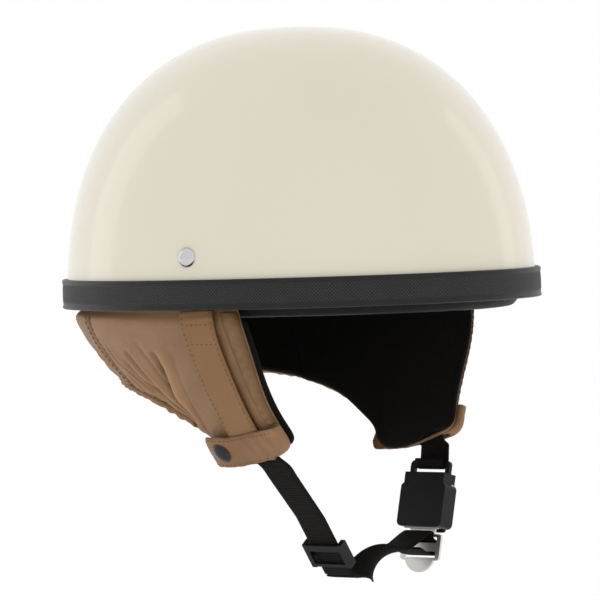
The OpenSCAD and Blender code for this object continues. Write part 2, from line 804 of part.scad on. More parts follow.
module lever_pin() {
    color("#b9b7b2") buckle_place()
        cross_pin(lever_pin_x, lever_pin_z, lever_pin_d, buckle_w / 2 - 1.5);
}

// Torsion spring round the pin.
module lever_spring() {
    color("#b9b7b2") buckle_place() difference() {
        cross_pin(lever_pin_x, lever_pin_z, lever_hub_d, 3);
        cross_pin(lever_pin_x, lever_pin_z, lever_pin_d + 0.3, 4);
    }
}

pawl_z = housing_end + 8;

module ratchet_pawl() {
    floor_x = channel_t / 2 + 0.8 + 2 * gap;
    tip = tongue_t / 2 + tooth_h + 0.12;
    color("#b9b7b2") buckle_place() translate([0, 4.2, pawl_z]) rotate([90, 0, 0])
        linear_extrude(8.4) polygon([[tip, -0.4], [tip, 0], [tip + 1, 1.8], [floor_x + 0.9, 1.8],
            [floor_x + 0.9, -1.8], [tip + 1, -1.8]]);
}

module ratchet_tongue() {
    half_t = tongue_t / 2;
    tooth_count = floor((tongue_top - housing_end - 4) / tooth_pitch);
    color("#bbb6b1") buckle_place() {
        plate(-half_t, half_t) difference() {
            union() {
                round_rect(-tongue_w / 2, tongue_end_z + 12, tongue_w / 2, tongue_top, 2);
                round_rect(-tongue_wide / 2, tongue_bar_z - tongue_frame, tongue_wide / 2,
                    tongue_bar_z + tongue_frame, 2);
                intersection() {
                    translate([0, tongue_end_z + tongue_end_r]) circle(tongue_end_r);
                    translate([-20, tongue_end_z - 1]) square([40, 12]);
                }
            }
            for (side = [-1, 1]) {
                z = tongue_bar_z + side * (tongue_bar_h + tongue_slot_h) / 2;
                translate([-web_w / 2 - 0.7, z - tongue_slot_h / 2])
                    square([web_w + 1.4, tongue_slot_h]);
            }
        }
        // Saw teeth on the outer face.
        for (i = [0:tooth_count - 1]) {
            translate([0, 4, tongue_top - 2 - i * tooth_pitch]) rotate([90, 0, 0])
                linear_extrude(8) polygon([[half_t - tiny, 0], [half_t + tooth_h, 0],
                    [half_t - tiny, -tooth_pitch * 0.9]]);
        }
    }
}

outer_shell();
edge_trim();
impact_liner();
crown_lining();
headband();
strap_rivets();
rivet_plates();
nape_panel();
side_panel_right();
side_panel_left();
nape_lining();
flap_lining_right();
flap_lining_left();
nape_elastic();
strap_sleeve_right();
strap_sleeve_left();
front_roll_right();
front_roll_left();
keeper_back_right();
keeper_back_left();
keeper_tab_right();
keeper_tab_left();
snap_cap_right();
snap_cap_left();
snap_socket_right();
snap_socket_left();
snap_stud_right();
snap_stud_left();
strap_right();
strap_left();
strap_slider();
strap_lower();
strap_end_loop();
buckle_housing();
buckle_plate();
release_lever();
lever_pin();
lever_spring();
ratchet_pawl();
ratchet_tongue();
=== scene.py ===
# %% [markdown]
# # An open face motorcycle helmet
# A cream half shell with a rubber edge, a leather neck curtain with two ear flaps, and a webbing
# chin strap with a slider and a ratchet buckle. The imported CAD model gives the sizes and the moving
# bodies. Soft and glossy pieces are remade here as fine meshes in the same place, and the small
# hard pieces keep their CAD shape and get rounded edges and a finish.

# %% Load the frame
import math

import bmesh
import bpy
import numpy as np
from mathutils import Matrix, Vector


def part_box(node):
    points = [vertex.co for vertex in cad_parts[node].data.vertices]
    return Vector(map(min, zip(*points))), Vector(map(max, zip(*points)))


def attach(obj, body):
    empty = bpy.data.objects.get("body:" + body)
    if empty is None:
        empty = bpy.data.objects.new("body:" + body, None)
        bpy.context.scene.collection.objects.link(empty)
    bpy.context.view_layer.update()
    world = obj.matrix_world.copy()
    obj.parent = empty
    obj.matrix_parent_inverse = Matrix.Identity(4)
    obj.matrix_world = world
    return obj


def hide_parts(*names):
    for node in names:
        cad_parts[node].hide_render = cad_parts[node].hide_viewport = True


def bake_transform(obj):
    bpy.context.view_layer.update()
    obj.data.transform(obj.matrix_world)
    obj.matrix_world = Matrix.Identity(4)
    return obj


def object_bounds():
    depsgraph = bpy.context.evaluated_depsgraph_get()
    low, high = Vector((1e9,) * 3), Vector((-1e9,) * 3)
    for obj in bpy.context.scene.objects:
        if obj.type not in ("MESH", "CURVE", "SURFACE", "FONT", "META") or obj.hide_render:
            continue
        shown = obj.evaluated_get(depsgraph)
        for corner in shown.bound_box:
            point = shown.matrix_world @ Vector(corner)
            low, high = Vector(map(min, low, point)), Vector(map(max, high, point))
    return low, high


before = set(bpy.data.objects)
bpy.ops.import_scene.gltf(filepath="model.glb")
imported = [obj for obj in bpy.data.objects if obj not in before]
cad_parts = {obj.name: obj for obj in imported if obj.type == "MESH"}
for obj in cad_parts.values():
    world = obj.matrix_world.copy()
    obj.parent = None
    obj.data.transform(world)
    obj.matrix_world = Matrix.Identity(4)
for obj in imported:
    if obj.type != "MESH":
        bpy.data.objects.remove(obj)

cad_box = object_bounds()
MM = 0.001
print("CAD box", [[round(c, 4) for c in corner] for corner in cad_box])

# %% [markdown]
# ## Camera
# The helmet is seen from its front right quarter, almost level with its rim, through a long lens
# from far away, so that the rim looks nearly straight. The small roll is the helmet's own tilt:
# it hangs a little nose up.

# %% Camera
CAMERA_AZIMUTH = -51.5
CAMERA_ELEVATION = 1.6
CAMERA_DISTANCE = 2.5
CAMERA_ROLL = 1.9
SENSOR = 36.0
LENS = 268.5


def look_direction(azimuth, elevation):
    a, e = math.radians(azimuth), math.radians(elevation)
    return Vector((math.sin(a) * math.cos(e), -math.cos(a) * math.cos(e), math.sin(e)))


camera_data = bpy.data.cameras.new("camera")
camera = bpy.data.objects.new("camera", camera_data)
bpy.context.scene.collection.objects.link(camera)
bpy.context.scene.camera = camera
camera_data.lens = LENS
camera_data.sensor_width = SENSOR
aim = Vector((0, 0, 0.001))
camera.location = aim + look_direction(CAMERA_AZIMUTH, CAMERA_ELEVATION) * CAMERA_DISTANCE
facing = (aim - camera.location).to_track_quat("-Z", "Y")
tilt = Matrix.Rotation(math.radians(-CAMERA_ROLL), 4, "Z")
camera.rotation_euler = (facing.to_matrix().to_4x4() @ tilt).to_euler()
print("camera at", [round(c, 3) for c in camera.location])

# %% [markdown]
# ## Light and floor
# A white studio: a pale floor that curves up into a wall, a bright even surround, and two tall soft
# boxes. The boxes stand a little behind the helmet, so their reflections lie near its sides as
# faint upright streaks.

# %% Light and floor
scene = bpy.context.scene
scene.view_settings.view_transform = "Standard"
world = bpy.data.worlds.new("studio")
scene.world = world
world.use_nodes = True
surround = world.node_tree.nodes["Background"]
surround.inputs["Color"].default_value = (1, 1, 1, 1)
surround.inputs["Strength"].default_value = 0.94
BOX_DISTANCE = 1.6
BOX_ELEVATION = 8


def soft_box(name, azimuth, width, height, watts):
    """A tall lamp that faces the helmet; its azimuth is counted from the camera's."""
    data = bpy.data.lights.new(name, "AREA")
    data.shape = "RECTANGLE"
    data.size = width
    data.size_y = height
    data.energy = watts
    light = bpy.data.objects.new(name, data)
    scene.collection.objects.link(light)
    light.location = look_direction(CAMERA_AZIMUTH + azimuth, BOX_ELEVATION) * BOX_DISTANCE
    light.rotation_euler = (-light.location).to_track_quat("-Z", "Y").to_euler()


soft_box("box_left", -116, 0.5, 2.4, 1.7)
soft_box("box_right", 112, 0.4, 2.2, 1.1)

# The floor's outline runs from in front of the helmet to the foot of the wall, and up it.
FLOOR_Z = cad_box[0][2] - 0.35
FLOOR_FRONT, FLOOR_BACK, FLOOR_HALF_W = -3.0, 2.5, 6
WALL_TOP = 4.5
BEND_STEPS, BEND_RADIUS = 12, 1.5
floor_mesh = bpy.data.meshes.new("floor")
profile = [(FLOOR_FRONT, 0.0), (FLOOR_BACK, 0.0)]
profile += [(FLOOR_BACK + BEND_RADIUS * math.sin(a), BEND_RADIUS * (1 - math.cos(a)))
            for a in (math.pi / 2 * (i + 1) / BEND_STEPS for i in range(BEND_STEPS))]
profile += [(FLOOR_BACK + BEND_RADIUS, WALL_TOP)]
back_way = -look_direction(CAMERA_AZIMUTH, 0)
side_way = look_direction(CAMERA_AZIMUTH + 90, 0)
floor_points = [tuple(back_way * y + side_way * x + Vector((0, 0, FLOOR_Z + z)))
                for y, z in profile for x in (-FLOOR_HALF_W, FLOOR_HALF_W)]
floor_faces = [(2 * i, 2 * i + 1, 2 * i + 3, 2 * i + 2) for i in range(len(profile) - 1)]
floor_mesh.from_pydata(floor_points, [], floor_faces)
floor = bpy.data.objects.new("floor", floor_mesh)
scene.collection.objects.link(floor)
for face in floor_mesh.polygons:
    face.use_smooth = True
print("floor at z", round(FLOOR_Z, 3))

# %% [markdown]
# ## A small language for finishes
# A finish is a graph of shader nodes. Written out link by link it's hard to read, so one class
# wraps a socket and lets ordinary Python expressions make the maths nodes. Every other node comes
# from the method `node`, which takes the node's type, its settings and what goes into its sockets.


# %% Shader helpers
class Wire:
    """An output socket that can be used in ordinary sums."""

    def __init__(self, tree, socket):
        self.tree = tree
        self.socket = socket

    def maths(self, operation, first, second):
        node = self.tree.nodes.new("ShaderNodeMath")
        node.operation = operation
        for slot, value in zip(node.inputs, (first, second)):
            if isinstance(value, Wire):
                self.tree.links.new(value.socket, slot)
            elif value is not None:
                slot.default_value = value
        return Wire(self.tree, node.outputs[0])

    def __add__(self, other):
        return self.maths("ADD", self, other)

    def __sub__(self, other):
        return self.maths("SUBTRACT", self, other)

    def __rsub__(self, other):
        return self.maths("SUBTRACT", other, self)

    def __mul__(self, other):
        return self.maths("MULTIPLY", self, other)

    def __truediv__(self, other):
        return self.maths("DIVIDE", self, other)

    __radd__ = __add__
    __rmul__ = __mul__

    def sine(self):
        return self.maths("SINE", self, None)

    def most(self, other):
        return self.maths("MAXIMUM", self, other)

    def least(self, other):
        return self.maths("MINIMUM", self, other)

    def above(self, edge, width):
        """0 below edge, 1 above it, and a ramp of that width between."""
        ramp = (self - edge) / width + 0.5
        return ramp.most(0).least(1)


class Finish:
    """One material, with a Principled shader and short ways to add nodes to it."""

    def __init__(self, name, slot, **constants):
        self.slot = slot
        self.material = bpy.data.materials.new(name)
        self.material.use_nodes = True
        self.tree = self.material.node_tree
        self.shader = self.tree.nodes["Principled BSDF"]
        for key, value in constants.items():
            self.shader.inputs[key.replace("_", " ")].default_value = value

    def node(self, kind, settings=None, output=0, **inputs):
        made = self.tree.nodes.new(kind)
        for key, value in (settings or {}).items():
            setattr(made, key, value)
        for key, value in inputs.items():
            socket = made.inputs[key.replace("_", " ")]
            if isinstance(value, Wire):
                self.tree.links.new(value.socket, socket)
            else:
                socket.default_value = value
        return Wire(self.tree, made.outputs[output])

    def place(self, kind="Object"):
        return self.node("ShaderNodeTexCoord", output=kind)

    def axis(self, vector, name):
        return self.node("ShaderNodeSeparateXYZ", output=name, Vector=vector)

    def noise(self, scale, detail=3.0, roughness=0.5, where=None, **more):
        return self.node("ShaderNodeTexNoise", Vector=where or self.place(), Scale=scale,
                         Detail=detail, Roughness=roughness, **more)

    def blend(self, factor, first, second):
        """From the first colour to the second, by a factor from 0 to 1."""
        mix = self.tree.nodes.new("ShaderNodeMix")
        mix.data_type = "RGBA"
        for socket, value in ((mix.inputs[0], factor), (mix.inputs[6], first),
                              (mix.inputs[7], second)):
            if isinstance(value, Wire):
                self.tree.links.new(value.socket, socket)
            elif isinstance(value, tuple):
                socket.default_value = (*value, 1)
            else:
                socket.default_value = value
        return Wire(self.tree, mix.outputs[2])

    def relief(self, height, depth, strength=1.0):
        normal = self.node("ShaderNodeBump", Height=height, Distance=depth, Strength=strength)
        self.feed("Normal", normal)

    def feed(self, name, wire):
        self.tree.links.new(wire.socket, self.shader.inputs[name])


def wear(piece, finish):
    """Gives a piece its finish."""
    piece.data.materials.clear()
    piece.data.materials.append(finish.material)


def stand_in(piece, finish, *nodes):
    """A remade piece that takes the place of CAD nodes on the fixed body."""
    wear(piece, finish)
    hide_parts(*nodes)
    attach(piece, "root")


def dress_cad(node, finish, rounding=0.0):
    """A CAD node keeps its shape; it gets a finish and, if wanted, rounded edges."""
    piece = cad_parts[node]
    for holder in piece.material_slots:
        holder.material = finish.material
    if rounding:
        bevel = piece.modifiers.new("rounding", "BEVEL")
        bevel.width = rounding
        bevel.segments = 3
        bevel.limit_method = "ANGLE"
        bevel.angle_limit = math.radians(40)
        bevel.harden_normals = True


print("shader helpers ready")

# %% [markdown]
# ## Finishes
# Lacquer, rubber, leather, fleece, webbing, moulded nylon and bare steel. Each has what its real
# surface shows close up: the faint orange peel of a sprayed shell, the grain and creases of lamb
# leather, the ribs of woven nylon, the fine drag marks on stamped steel.


# %% Lacquer
def lacquer():
    paint = Finish("cream_lacquer", "shell_gloss", Coat_Weight=0.5, Coat_Roughness=0.04)
    cloud = paint.noise(9.0, 2.0)
    paint.feed("Base Color", paint.blend(cloud, (0.735, 0.680, 0.548), (0.760, 0.708, 0.582)))
    scuff = paint.noise(160.0, 6.0, 0.65)
    paint.feed("Roughness", 0.15 + scuff * 0.07)
    peel = paint.noise(420.0, 1.5)
    paint.relief(peel, 0.00004, 0.35)
    return paint


# %% Rubber trim
FULL_TURN = 2 * math.pi
WEAVE_PITCH = 1.9 * MM
# The embossed band, measured up the trim's outline from the foot of its outer face.
FACE_LOW = 4.2 * MM
FACE_HIGH = 14.2 * MM
FACE_EDGE = 1.2 * MM


def ribbed_rubber():
    """The face between the two beads is embossed like a twill: two crossing sets of ridges."""
    rubber = Finish("edge_rubber", "trim_rubber", Specular_IOR_Level=0.25)
    where = rubber.place("UV")
    run = rubber.axis(where, "X")
    climb = rubber.axis(where, "Y")
    ridge = ((run + climb) * (FULL_TURN / WEAVE_PITCH)).sine() * 0.5 + 0.5
    cross = ((run - climb) * (FULL_TURN / WEAVE_PITCH)).sine() * 0.5 + 0.5
    weave = ridge * cross
    face = climb.above(FACE_LOW, FACE_EDGE) * (1 - climb.above(FACE_HIGH, FACE_EDGE))
    dust = rubber.noise(60.0, 5.0, 0.6)
    height = weave * face
    # Colour follows the twill's height: painted shade, near black, in the grooves and grey ridges;
    # dust adds random tone.
    rubber.feed("Base Color", rubber.blend(height * 0.85 + dust * 0.2, (0.007, 0.007, 0.0073),
                                           (0.062, 0.059, 0.0575)))
    rubber.feed("Roughness", 0.36 + face * 0.14 + dust * 0.1)
    rubber.relief(height, 0.0004, 0.9)
    return rubber


# %% Leather
def leather(name, slot, dark, light, rub=0.5):
    """Fine pebble grain, wandering creases, and painted light from the 'fold' attribute: raised folds
    paler (rubbed wear and painted highlight), valleys and turned edges darker (painted shade).
    """
    hide = Finish(name, slot, Specular_IOR_Level=0.32)
    grain = hide.node("ShaderNodeTexVoronoi", {"feature": "DISTANCE_TO_EDGE"}, "Distance",
                      Vector=hide.place(), Scale=950.0)
    pebble = grain.above(0.12, 0.2)
    crease = hide.noise(70.0, 6.0, 0.62, Distortion=0.9)
    broad = hide.noise(14.0, 3.0)
    rub_and_shade = hide.node("ShaderNodeAttribute", {"attribute_name": "fold"}, "Fac")
    # Broad and crease noise are random tone; the 'fold' value adds painted shade in valleys and at
    # edges, and a paler rubbed, partly painted highlight on ridges.
    tone = broad * 0.45 + crease * rub + rub_and_shade * 0.22
    hide.feed("Base Color", hide.blend(tone.above(0.5, 0.9), dark, light))
    hide.feed("Roughness", 0.5 - broad * 0.1 + crease * 0.12)
    hide.relief(pebble * 0.25 + crease * 1.1, 0.0006, 0.6)
    return hide


# %% Fleece
def fleece(name, slot, colour):
    pile = Finish(name, slot, Sheen_Weight=0.03, Sheen_Roughness=0.6, Specular_IOR_Level=0.05)
    tufts = pile.noise(900.0, 4.0, 0.7)
    nap = pile.noise(45.0, 3.0)
    bright = tuple(c * 1.9 for c in colour)
    pile.feed("Base Color", pile.blend(tufts * 0.6 + nap * 0.4, colour, bright))
    pile.feed("Roughness", 0.88 + tufts * 0.1)
    pile.relief(tufts + nap * 0.6, 0.0008, 0.8)
    return pile


# %% Leatherette
def leatherette():
    skin = Finish("dark_leatherette", "headband_leatherette", Specular_IOR_Level=0.1)
    pores = skin.node("ShaderNodeTexVoronoi", {"feature": "F1"}, "Distance",
                      Vector=skin.place(), Scale=1300.0)
    soft = skin.noise(30.0, 4.0, 0.6)
    skin.feed("Base Color", skin.blend(soft, (0.0055, 0.0055, 0.005), (0.012, 0.012, 0.0115)))
    skin.feed("Roughness", 0.46 + soft * 0.16)
    skin.relief(pores * 0.5 + soft, 0.0004, 0.5)
    return skin


# %% Webbing
RIB_PITCH = 1.25 * MM
BEAD_PITCH = 0.9 * MM


def nylon_webbing():
    """Ribs run across the strap; each rib is a row of small yarn beads."""
    band = Finish("ribbed_webbing", "webbing_black", Sheen_Weight=0.01, Specular_IOR_Level=0.08)
    where = band.place("UV")
    along = band.axis(where, "X")
    across = band.axis(where, "Y")
    rib = (along * (FULL_TURN / RIB_PITCH)).sine() * 0.5 + 0.5
    bead = (across * (FULL_TURN / BEAD_PITCH) + along * (math.pi / RIB_PITCH)).sine() * 0.5 + 0.5
    fuzz = band.noise(500.0, 4.0, 0.7)
    height = rib * 0.7 + bead * rib * 0.3
    # Colour follows the ribs' height: painted shade between the ribs and lighter rib tops; fuzz adds
    # random tone.
    band.feed("Base Color", band.blend(height * 0.7 + fuzz * 0.4, (0.0025, 0.0021, 0.002),
                                       (0.0125, 0.0105, 0.0095)))
    band.feed("Roughness", 0.62 + fuzz * 0.16)
    band.relief(height + fuzz * 0.25, 0.00045, 0.9)
    return band


# %% Moulded nylon
def moulded(name, slot, colour, rough=0.4):
    """Fine spark-eroded texture, with glossier rubbed spots."""
    shell = Finish(name, slot, Specular_IOR_Level=0.17)
    sand = shell.noise(1500.0, 2.0)
    rubbed = shell.noise(55.0, 4.0, 0.6)
    pale = tuple(c * 1.35 for c in colour)
    shell.feed("Base Color", shell.blend(rubbed, colour, pale))
    shell.feed("Roughness", rough + sand * 0.12 - rubbed * 0.08)
    shell.relief(sand, 0.00006, 0.5)
    return shell


# %% Metal
def metal(name, slot, colour, rough, drag):
    """Bare metal; drag marks are noise stretched along the sheet's rolling direction."""
    plate = Finish(name, slot, Metallic=1.0)
    stretched = plate.node("ShaderNodeMapping", {"vector_type": "POINT"}, Vector=plate.place(),
                           Scale=(220.0, 220.0, 2600.0))
    marks = plate.noise(1.0, 4.0, 0.6, where=stretched)
    smudge = plate.noise(70.0, 3.0)
    dull = tuple(c * 0.82 for c in colour)
    plate.feed("Base Color", plate.blend(smudge, dull, colour))
    plate.feed("Roughness", rough + marks * drag + smudge * drag * 0.6)
    plate.relief(marks, 0.00003, 0.3)
    return plate


# %% Make the finishes
cream = lacquer()
rubber = ribbed_rubber()
tan = leather("tan_lamb_leather", "leather_tan", (0.162, 0.080, 0.034), (0.368, 0.212, 0.108))
sleeve_tan = leather("sleeve_leather", "leather_sleeve", (0.198, 0.100, 0.038),
                     (0.315, 0.168, 0.068), 0.35)
# A darker copy of the flap's tan leather, in the same slot: painted shade on the rolled front edges.
roll_tan_shaded = leather("rolled_leather_shaded", "leather_tan", (0.108, 0.052, 0.018), (0.262, 0.146, 0.062))
keeper_tan = leather("keeper_leather", "leather_tan", (0.150, 0.073, 0.029), (0.332, 0.178, 0.080))
pile = fleece("black_fleece", "fleece_black", (0.0045, 0.004, 0.0032))
roll_skin = leatherette()
webbing = nylon_webbing()
nylon = moulded("black_nylon", "buckle_plastic", (0.006, 0.0052, 0.0055))
lever_nylon = moulded("grey_nylon", "lever_plastic", (0.017, 0.015, 0.018), 0.36)
foam = moulded("liner_foam", "liner_foam", (0.014, 0.014, 0.015), 0.8)
chrome = metal("chromed_rivet", "rivet_chrome", (0.66, 0.66, 0.68), 0.06, 0.05)
steel = metal("plain_steel", "hardware_steel", (0.52, 0.51, 0.49), 0.28, 0.14)
tongue_steel = metal("satin_steel", "tongue_steel", (0.76, 0.73, 0.705), 0.3, 0.12)
cap_black = moulded("snap_lacquer", "snap_black", (0.022, 0.020, 0.020), 0.2)
thread = moulded("tan_thread", "leather_tan", (0.130, 0.075, 0.040), 0.6)
dark_thread = moulded("black_thread", "webbing_black", (0.010, 0.009, 0.009), 0.6)
floor_paint = Finish("studio_floor", "shell_gloss", Base_Color=(0.9, 0.9, 0.9, 1),
                     Roughness=0.9, Emission_Color=(1, 1, 1, 1), Emission_Strength=0.14)
floor_mesh.materials.append(floor_paint.material)
print(len(bpy.data.materials), "materials")

# %% [markdown]
# ## Mesh helpers
# Most pieces are sheets or rings: rows of points that a rule gives. One helper turns an outer and
# an inner grid of points into a closed piece, and writes metric UVs, so that a weave has its true
# pitch wherever the sheet goes.


# %% Mesh helpers
def new_piece(name, points, faces, uvs=None):
    mesh = bpy.data.meshes.new(name)
    mesh.from_pydata([tuple(p) for p in points], [], faces)
    if uvs is not None:
        layer = mesh.uv_layers.new(name="metric")
        for loop in mesh.loops:
            layer.data[loop.index].uv = uvs[loop.vertex_index]
    mesh.validate()
    work = bmesh.new()
    work.from_mesh(mesh)
    bmesh.ops.recalc_face_normals(work, faces=work.faces)
    work.to_mesh(mesh)
    work.free()
    for face in mesh.polygons:
        face.use_smooth = True
    piece = bpy.data.objects.new(name, mesh)
    scene.collection.objects.link(piece)
    return piece


def metric_uv(grid):
    """Distances along and across a grid of points, in metres."""
    grid = np.asarray(grid)
    across = np.zeros(grid.shape[:2])
    along = np.zeros(grid.shape[:2])
    across[:, 1:] = np.cumsum(np.linalg.norm(np.diff(grid, axis=1), axis=2), axis=1)
    across -= across[:, -1:] / 2
    along[1:, :] = np.cumsum(np.linalg.norm(np.diff(grid, axis=0), axis=2), axis=0)
    along[:] = along.mean(axis=1, keepdims=True)
    return np.stack([along, across], axis=2).reshape(-1, 2)


def closed_sheet(name, outer, inner, subdivide=0, rub_and_shade=None):
    """A sheet with thickness, closed all round, from two grids of points. The last argument gives
    each outer point a tone value, mostly how far it stands proud, which the leather finish turns
    into painted light: paler where high (rubbed wear and painted highlight), darker where low
    (painted shade)."""
    outer, inner = np.asarray(outer), np.asarray(inner)
    rows, cols = outer.shape[:2]
    count = rows * cols
    points = np.concatenate([outer.reshape(-1, 3), inner.reshape(-1, 3)])
    uvs = np.concatenate([metric_uv(outer), metric_uv(inner)])
    faces = []
    for r in range(rows - 1):
        for c in range(cols - 1):
            a = r * cols + c
            faces.append((a, a + 1, a + cols + 1, a + cols))
            faces.append((count + a, count + a + cols, count + a + cols + 1, count + a + 1))
    rim = [c for c in range(cols)]
    rim += [r * cols + cols - 1 for r in range(1, rows)]
    rim += [(rows - 1) * cols + c for c in range(cols - 2, -1, -1)]
    rim += [r * cols for r in range(rows - 2, 0, -1)]
    for a, b in zip(rim, rim[1:] + rim[:1]):
        faces.append((a, count + a, count + b, b))
    piece = new_piece(name, points, faces, uvs)
    if rub_and_shade is not None:
        mark = piece.data.attributes.new("fold", "FLOAT", "POINT")
        mark.data.foreach_set("value", np.tile(np.asarray(rub_and_shade, float).ravel(), 2))
    if subdivide:
        smooth_over(piece, subdivide)
    return piece


def smooth_over(piece, levels):
    modifier = piece.modifiers.new("smooth", "SUBSURF")
    modifier.levels = levels
    modifier.render_levels = levels


def ring_piece(name, section, turns):
    """A closed ring: section(t) gives the outline at turn t from 0 to 1, as (x, y, z) rows."""
    rings = np.array([section(i / turns) for i in range(turns)])
    count = rings.shape[1]
    points = rings.reshape(-1, 3)
    faces, corner_uv = [], []
    lengths = np.concatenate([[0], np.cumsum(np.linalg.norm(
        np.diff(np.concatenate([rings[:, 0], rings[:1, 0]]), axis=0), axis=1))])
    climb = np.concatenate([[0], np.cumsum(np.linalg.norm(
        np.diff(np.concatenate([rings[0], rings[0, :1]]), axis=0), axis=1))])
    for i in range(turns):
        for j in range(count):
            k, m = (i + 1) % turns, (j + 1) % count
            faces.append((i * count + j, i * count + m, k * count + m, k * count + j))
            corner_uv.append(((lengths[i], climb[j]), (lengths[i], climb[j + 1]),
                              (lengths[i + 1], climb[j + 1]), (lengths[i + 1], climb[j])))
    mesh = bpy.data.meshes.new(name)
    mesh.from_pydata([tuple(p) for p in points], [], faces)
    layer = mesh.uv_layers.new(name="metric")
    for face, uvs in zip(mesh.polygons, corner_uv):
        for loop, uv in zip(face.loop_indices, uvs):
            layer.data[loop].uv = uv
        face.use_smooth = True
    piece = bpy.data.objects.new(name, mesh)
    scene.collection.objects.link(piece)
    return piece


print("mesh helpers ready")

# %% [markdown]
# ## The shell
# On the real helmet the shell is laid up in a polished mould, so nothing shows but one full curve.
# A lathe of the dome's own formula, narrowed across the head, gives that curve with no facets.

# %% Shell
shell_low, shell_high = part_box("outer_shell")
half_w, half_l = shell_high[0], shell_high[1]
shell_top = shell_high[2]
shell_foot = shell_low[2]
SHELL_T = 4 * MM
SHELL_LIP = 1.5 * MM
FULLNESS = 2.3


def dome_radius(z, offset):
    """Half length of the dome at height z, for a surface moved outward by offset."""
    share = np.clip(z / (shell_top + offset), 0, 1)
    return (half_l + offset) * np.power(1 - np.power(share, FULLNESS), 1 / FULLNESS)


def oval(angle, radius, z):
    """The point at that angle from the nape, on the wearer's right for a positive angle."""
    return np.array([-radius * half_w / half_l * math.sin(angle), radius * math.cos(angle), z])


def dome_rows(z0, offset, steps):
    start = math.asin(max(0.0, z0) / (shell_top + offset))
    heights = [(shell_top + offset) * math.sin(start + (math.pi / 2 - start) * i / steps)
               for i in range(steps)]
    return [(float(dome_radius(z, offset)), z) for z in heights]


def dome_piece(name, z0, outer, inner, lip, turns=192, steps=72):
    """An open bowl with a rounded edge: up the outside, and down the inside."""
    outside = dome_rows(z0 + lip, outer, steps)
    inside = dome_rows(z0 + lip, inner, steps)
    middle = (outside[0][0] + inside[0][0]) / 2
    reach = (outside[0][0] - inside[0][0]) / 2
    edge = [(middle + reach * math.cos(a), z0 + lip - lip * math.sin(a))
            for a in (math.pi * i / 8 for i in range(1, 8))]
    line = outside[::-1] + edge + inside
    points = [oval(FULL_TURN * i / turns, r, z) for r, z in line for i in range(turns)]
    faces = [(j * turns + i, j * turns + (i + 1) % turns, (j + 1) * turns + (i + 1) % turns,
              (j + 1) * turns + i) for j in range(len(line) - 1) for i in range(turns)]
    crown_out, crown_in = len(points), len(points) + 1
    points += [np.array([0, 0, shell_top + outer]), np.array([0, 0, shell_top + inner])]
    last = (len(line) - 1) * turns
    faces += [(crown_out, (i + 1) % turns, i) for i in range(turns)]
    faces += [(crown_in, last + i, last + (i + 1) % turns) for i in range(turns)]
    return new_piece(name, points, faces)


shell = dome_piece("shell", shell_foot, 0.0, -SHELL_T, SHELL_LIP)
stand_in(shell, cream, "outer_shell")
print("shell", round(2 * half_l, 4), "x", round(2 * half_w, 4), "x", round(shell_top, 4))

# %% [markdown]
# ## Liner, crown lining and headband
# Inside sit a foam liner and a cloth lining, then the stuffed roll that touches the brow. The roll
# is padded, so it's pumped up by a short cloth simulation and keeps slight puckers from its seam.

# %% Liner and crown lining
LINER_T = 22 * MM
LINING_T = 2.4 * MM
liner_low, liner_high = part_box("impact_liner")
lining_low, lining_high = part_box("crown_lining")
liner_out = liner_high[2] - shell_top
lining_out = lining_high[2] - shell_top
liner = dome_piece("foam_liner", liner_low[2], liner_out, liner_out - LINER_T, 4 * MM, 128, 40)
stand_in(liner, foam, "impact_liner")
crown = dome_piece("crown_lining_cloth", lining_low[2], lining_out, lining_out - LINING_T, 1 * MM,
                   128, 40)
stand_in(crown, pile, "crown_lining")
print("liner from z", round(liner_low[2], 4))


# %% Padding by cloth simulation
CLOTH_PRESSURE = 4.0
CLOTH_FRAMES = 20


def puff(piece, voxel, cap):
    """Pumps a soft piece up a little with Cloth, and limits how far any point may move.

    A pad thinner than a voxel keeps its own grid: its voxel size is None.
    """
    if voxel:
        bpy.context.view_layer.objects.active = piece
        remesh = piece.modifiers.new("remesh", "REMESH")
        remesh.mode = "VOXEL"
        remesh.voxel_size = voxel
        remesh.use_smooth_shade = True
        bpy.ops.object.modifier_apply(modifier=remesh.name)
    rest = np.array([v.co for v in piece.data.vertices])
    cloth = piece.modifiers.new("cloth", "CLOTH")
    cloth.settings.use_pressure = True
    cloth.settings.uniform_pressure_force = CLOTH_PRESSURE
    cloth.settings.effector_weights.gravity = 0
    cloth.settings.quality = 4
    cloth.point_cache.frame_end = CLOTH_FRAMES
    for step in range(1, CLOTH_FRAMES + 1):
        scene.frame_set(step)
    seen = piece.evaluated_get(bpy.context.evaluated_depsgraph_get())
    moved = np.array([v.co for v in seen.data.vertices])
    piece.modifiers.remove(cloth)
    scene.frame_set(1)
    shift = moved - rest
    size = np.linalg.norm(shift, axis=1, keepdims=True)
    shift *= np.minimum(1, cap / np.maximum(size, 1e-9))
    for vertex, place in zip(piece.data.vertices, rest + shift):
        vertex.co = place
    for face in piece.data.polygons:
        face.use_smooth = True
    smooth_over(piece, 1)
    print(piece.name, "pumped up by", round(float(size.mean()) * 1000, 2), "mm on average")


# %% Headband roll
band_low, band_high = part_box("headband")
band_mid_z = (band_low[2] + band_high[2]) / 2
band_half_h = (band_high[2] - band_low[2]) / 2
band_half_w = 9 * MM
band_centre = band_high[1] - band_half_w
PUCKERS = 46


def headband_section(t):
    """A plump oval that leans out under the trim at the brow, with shallow puckers."""
    angle = FULL_TURN * t
    brow = max(0.0, -math.cos(angle)) ** 0.7
    pucker = 1 + 0.008 * math.sin(PUCKERS * angle + 1.3 * math.sin(5 * angle))
    rows = []
    for i in range(28):
        a = FULL_TURN * i / 28
        out = math.cos(a) * (band_half_w - 0.5 * MM) * pucker + 2.6 * MM * brow * (a < 7)
        up = math.sin(a) * (band_half_h - 0.4 * MM) * pucker
        rows.append(oval(angle, band_centre + out, band_mid_z + up))
    return rows


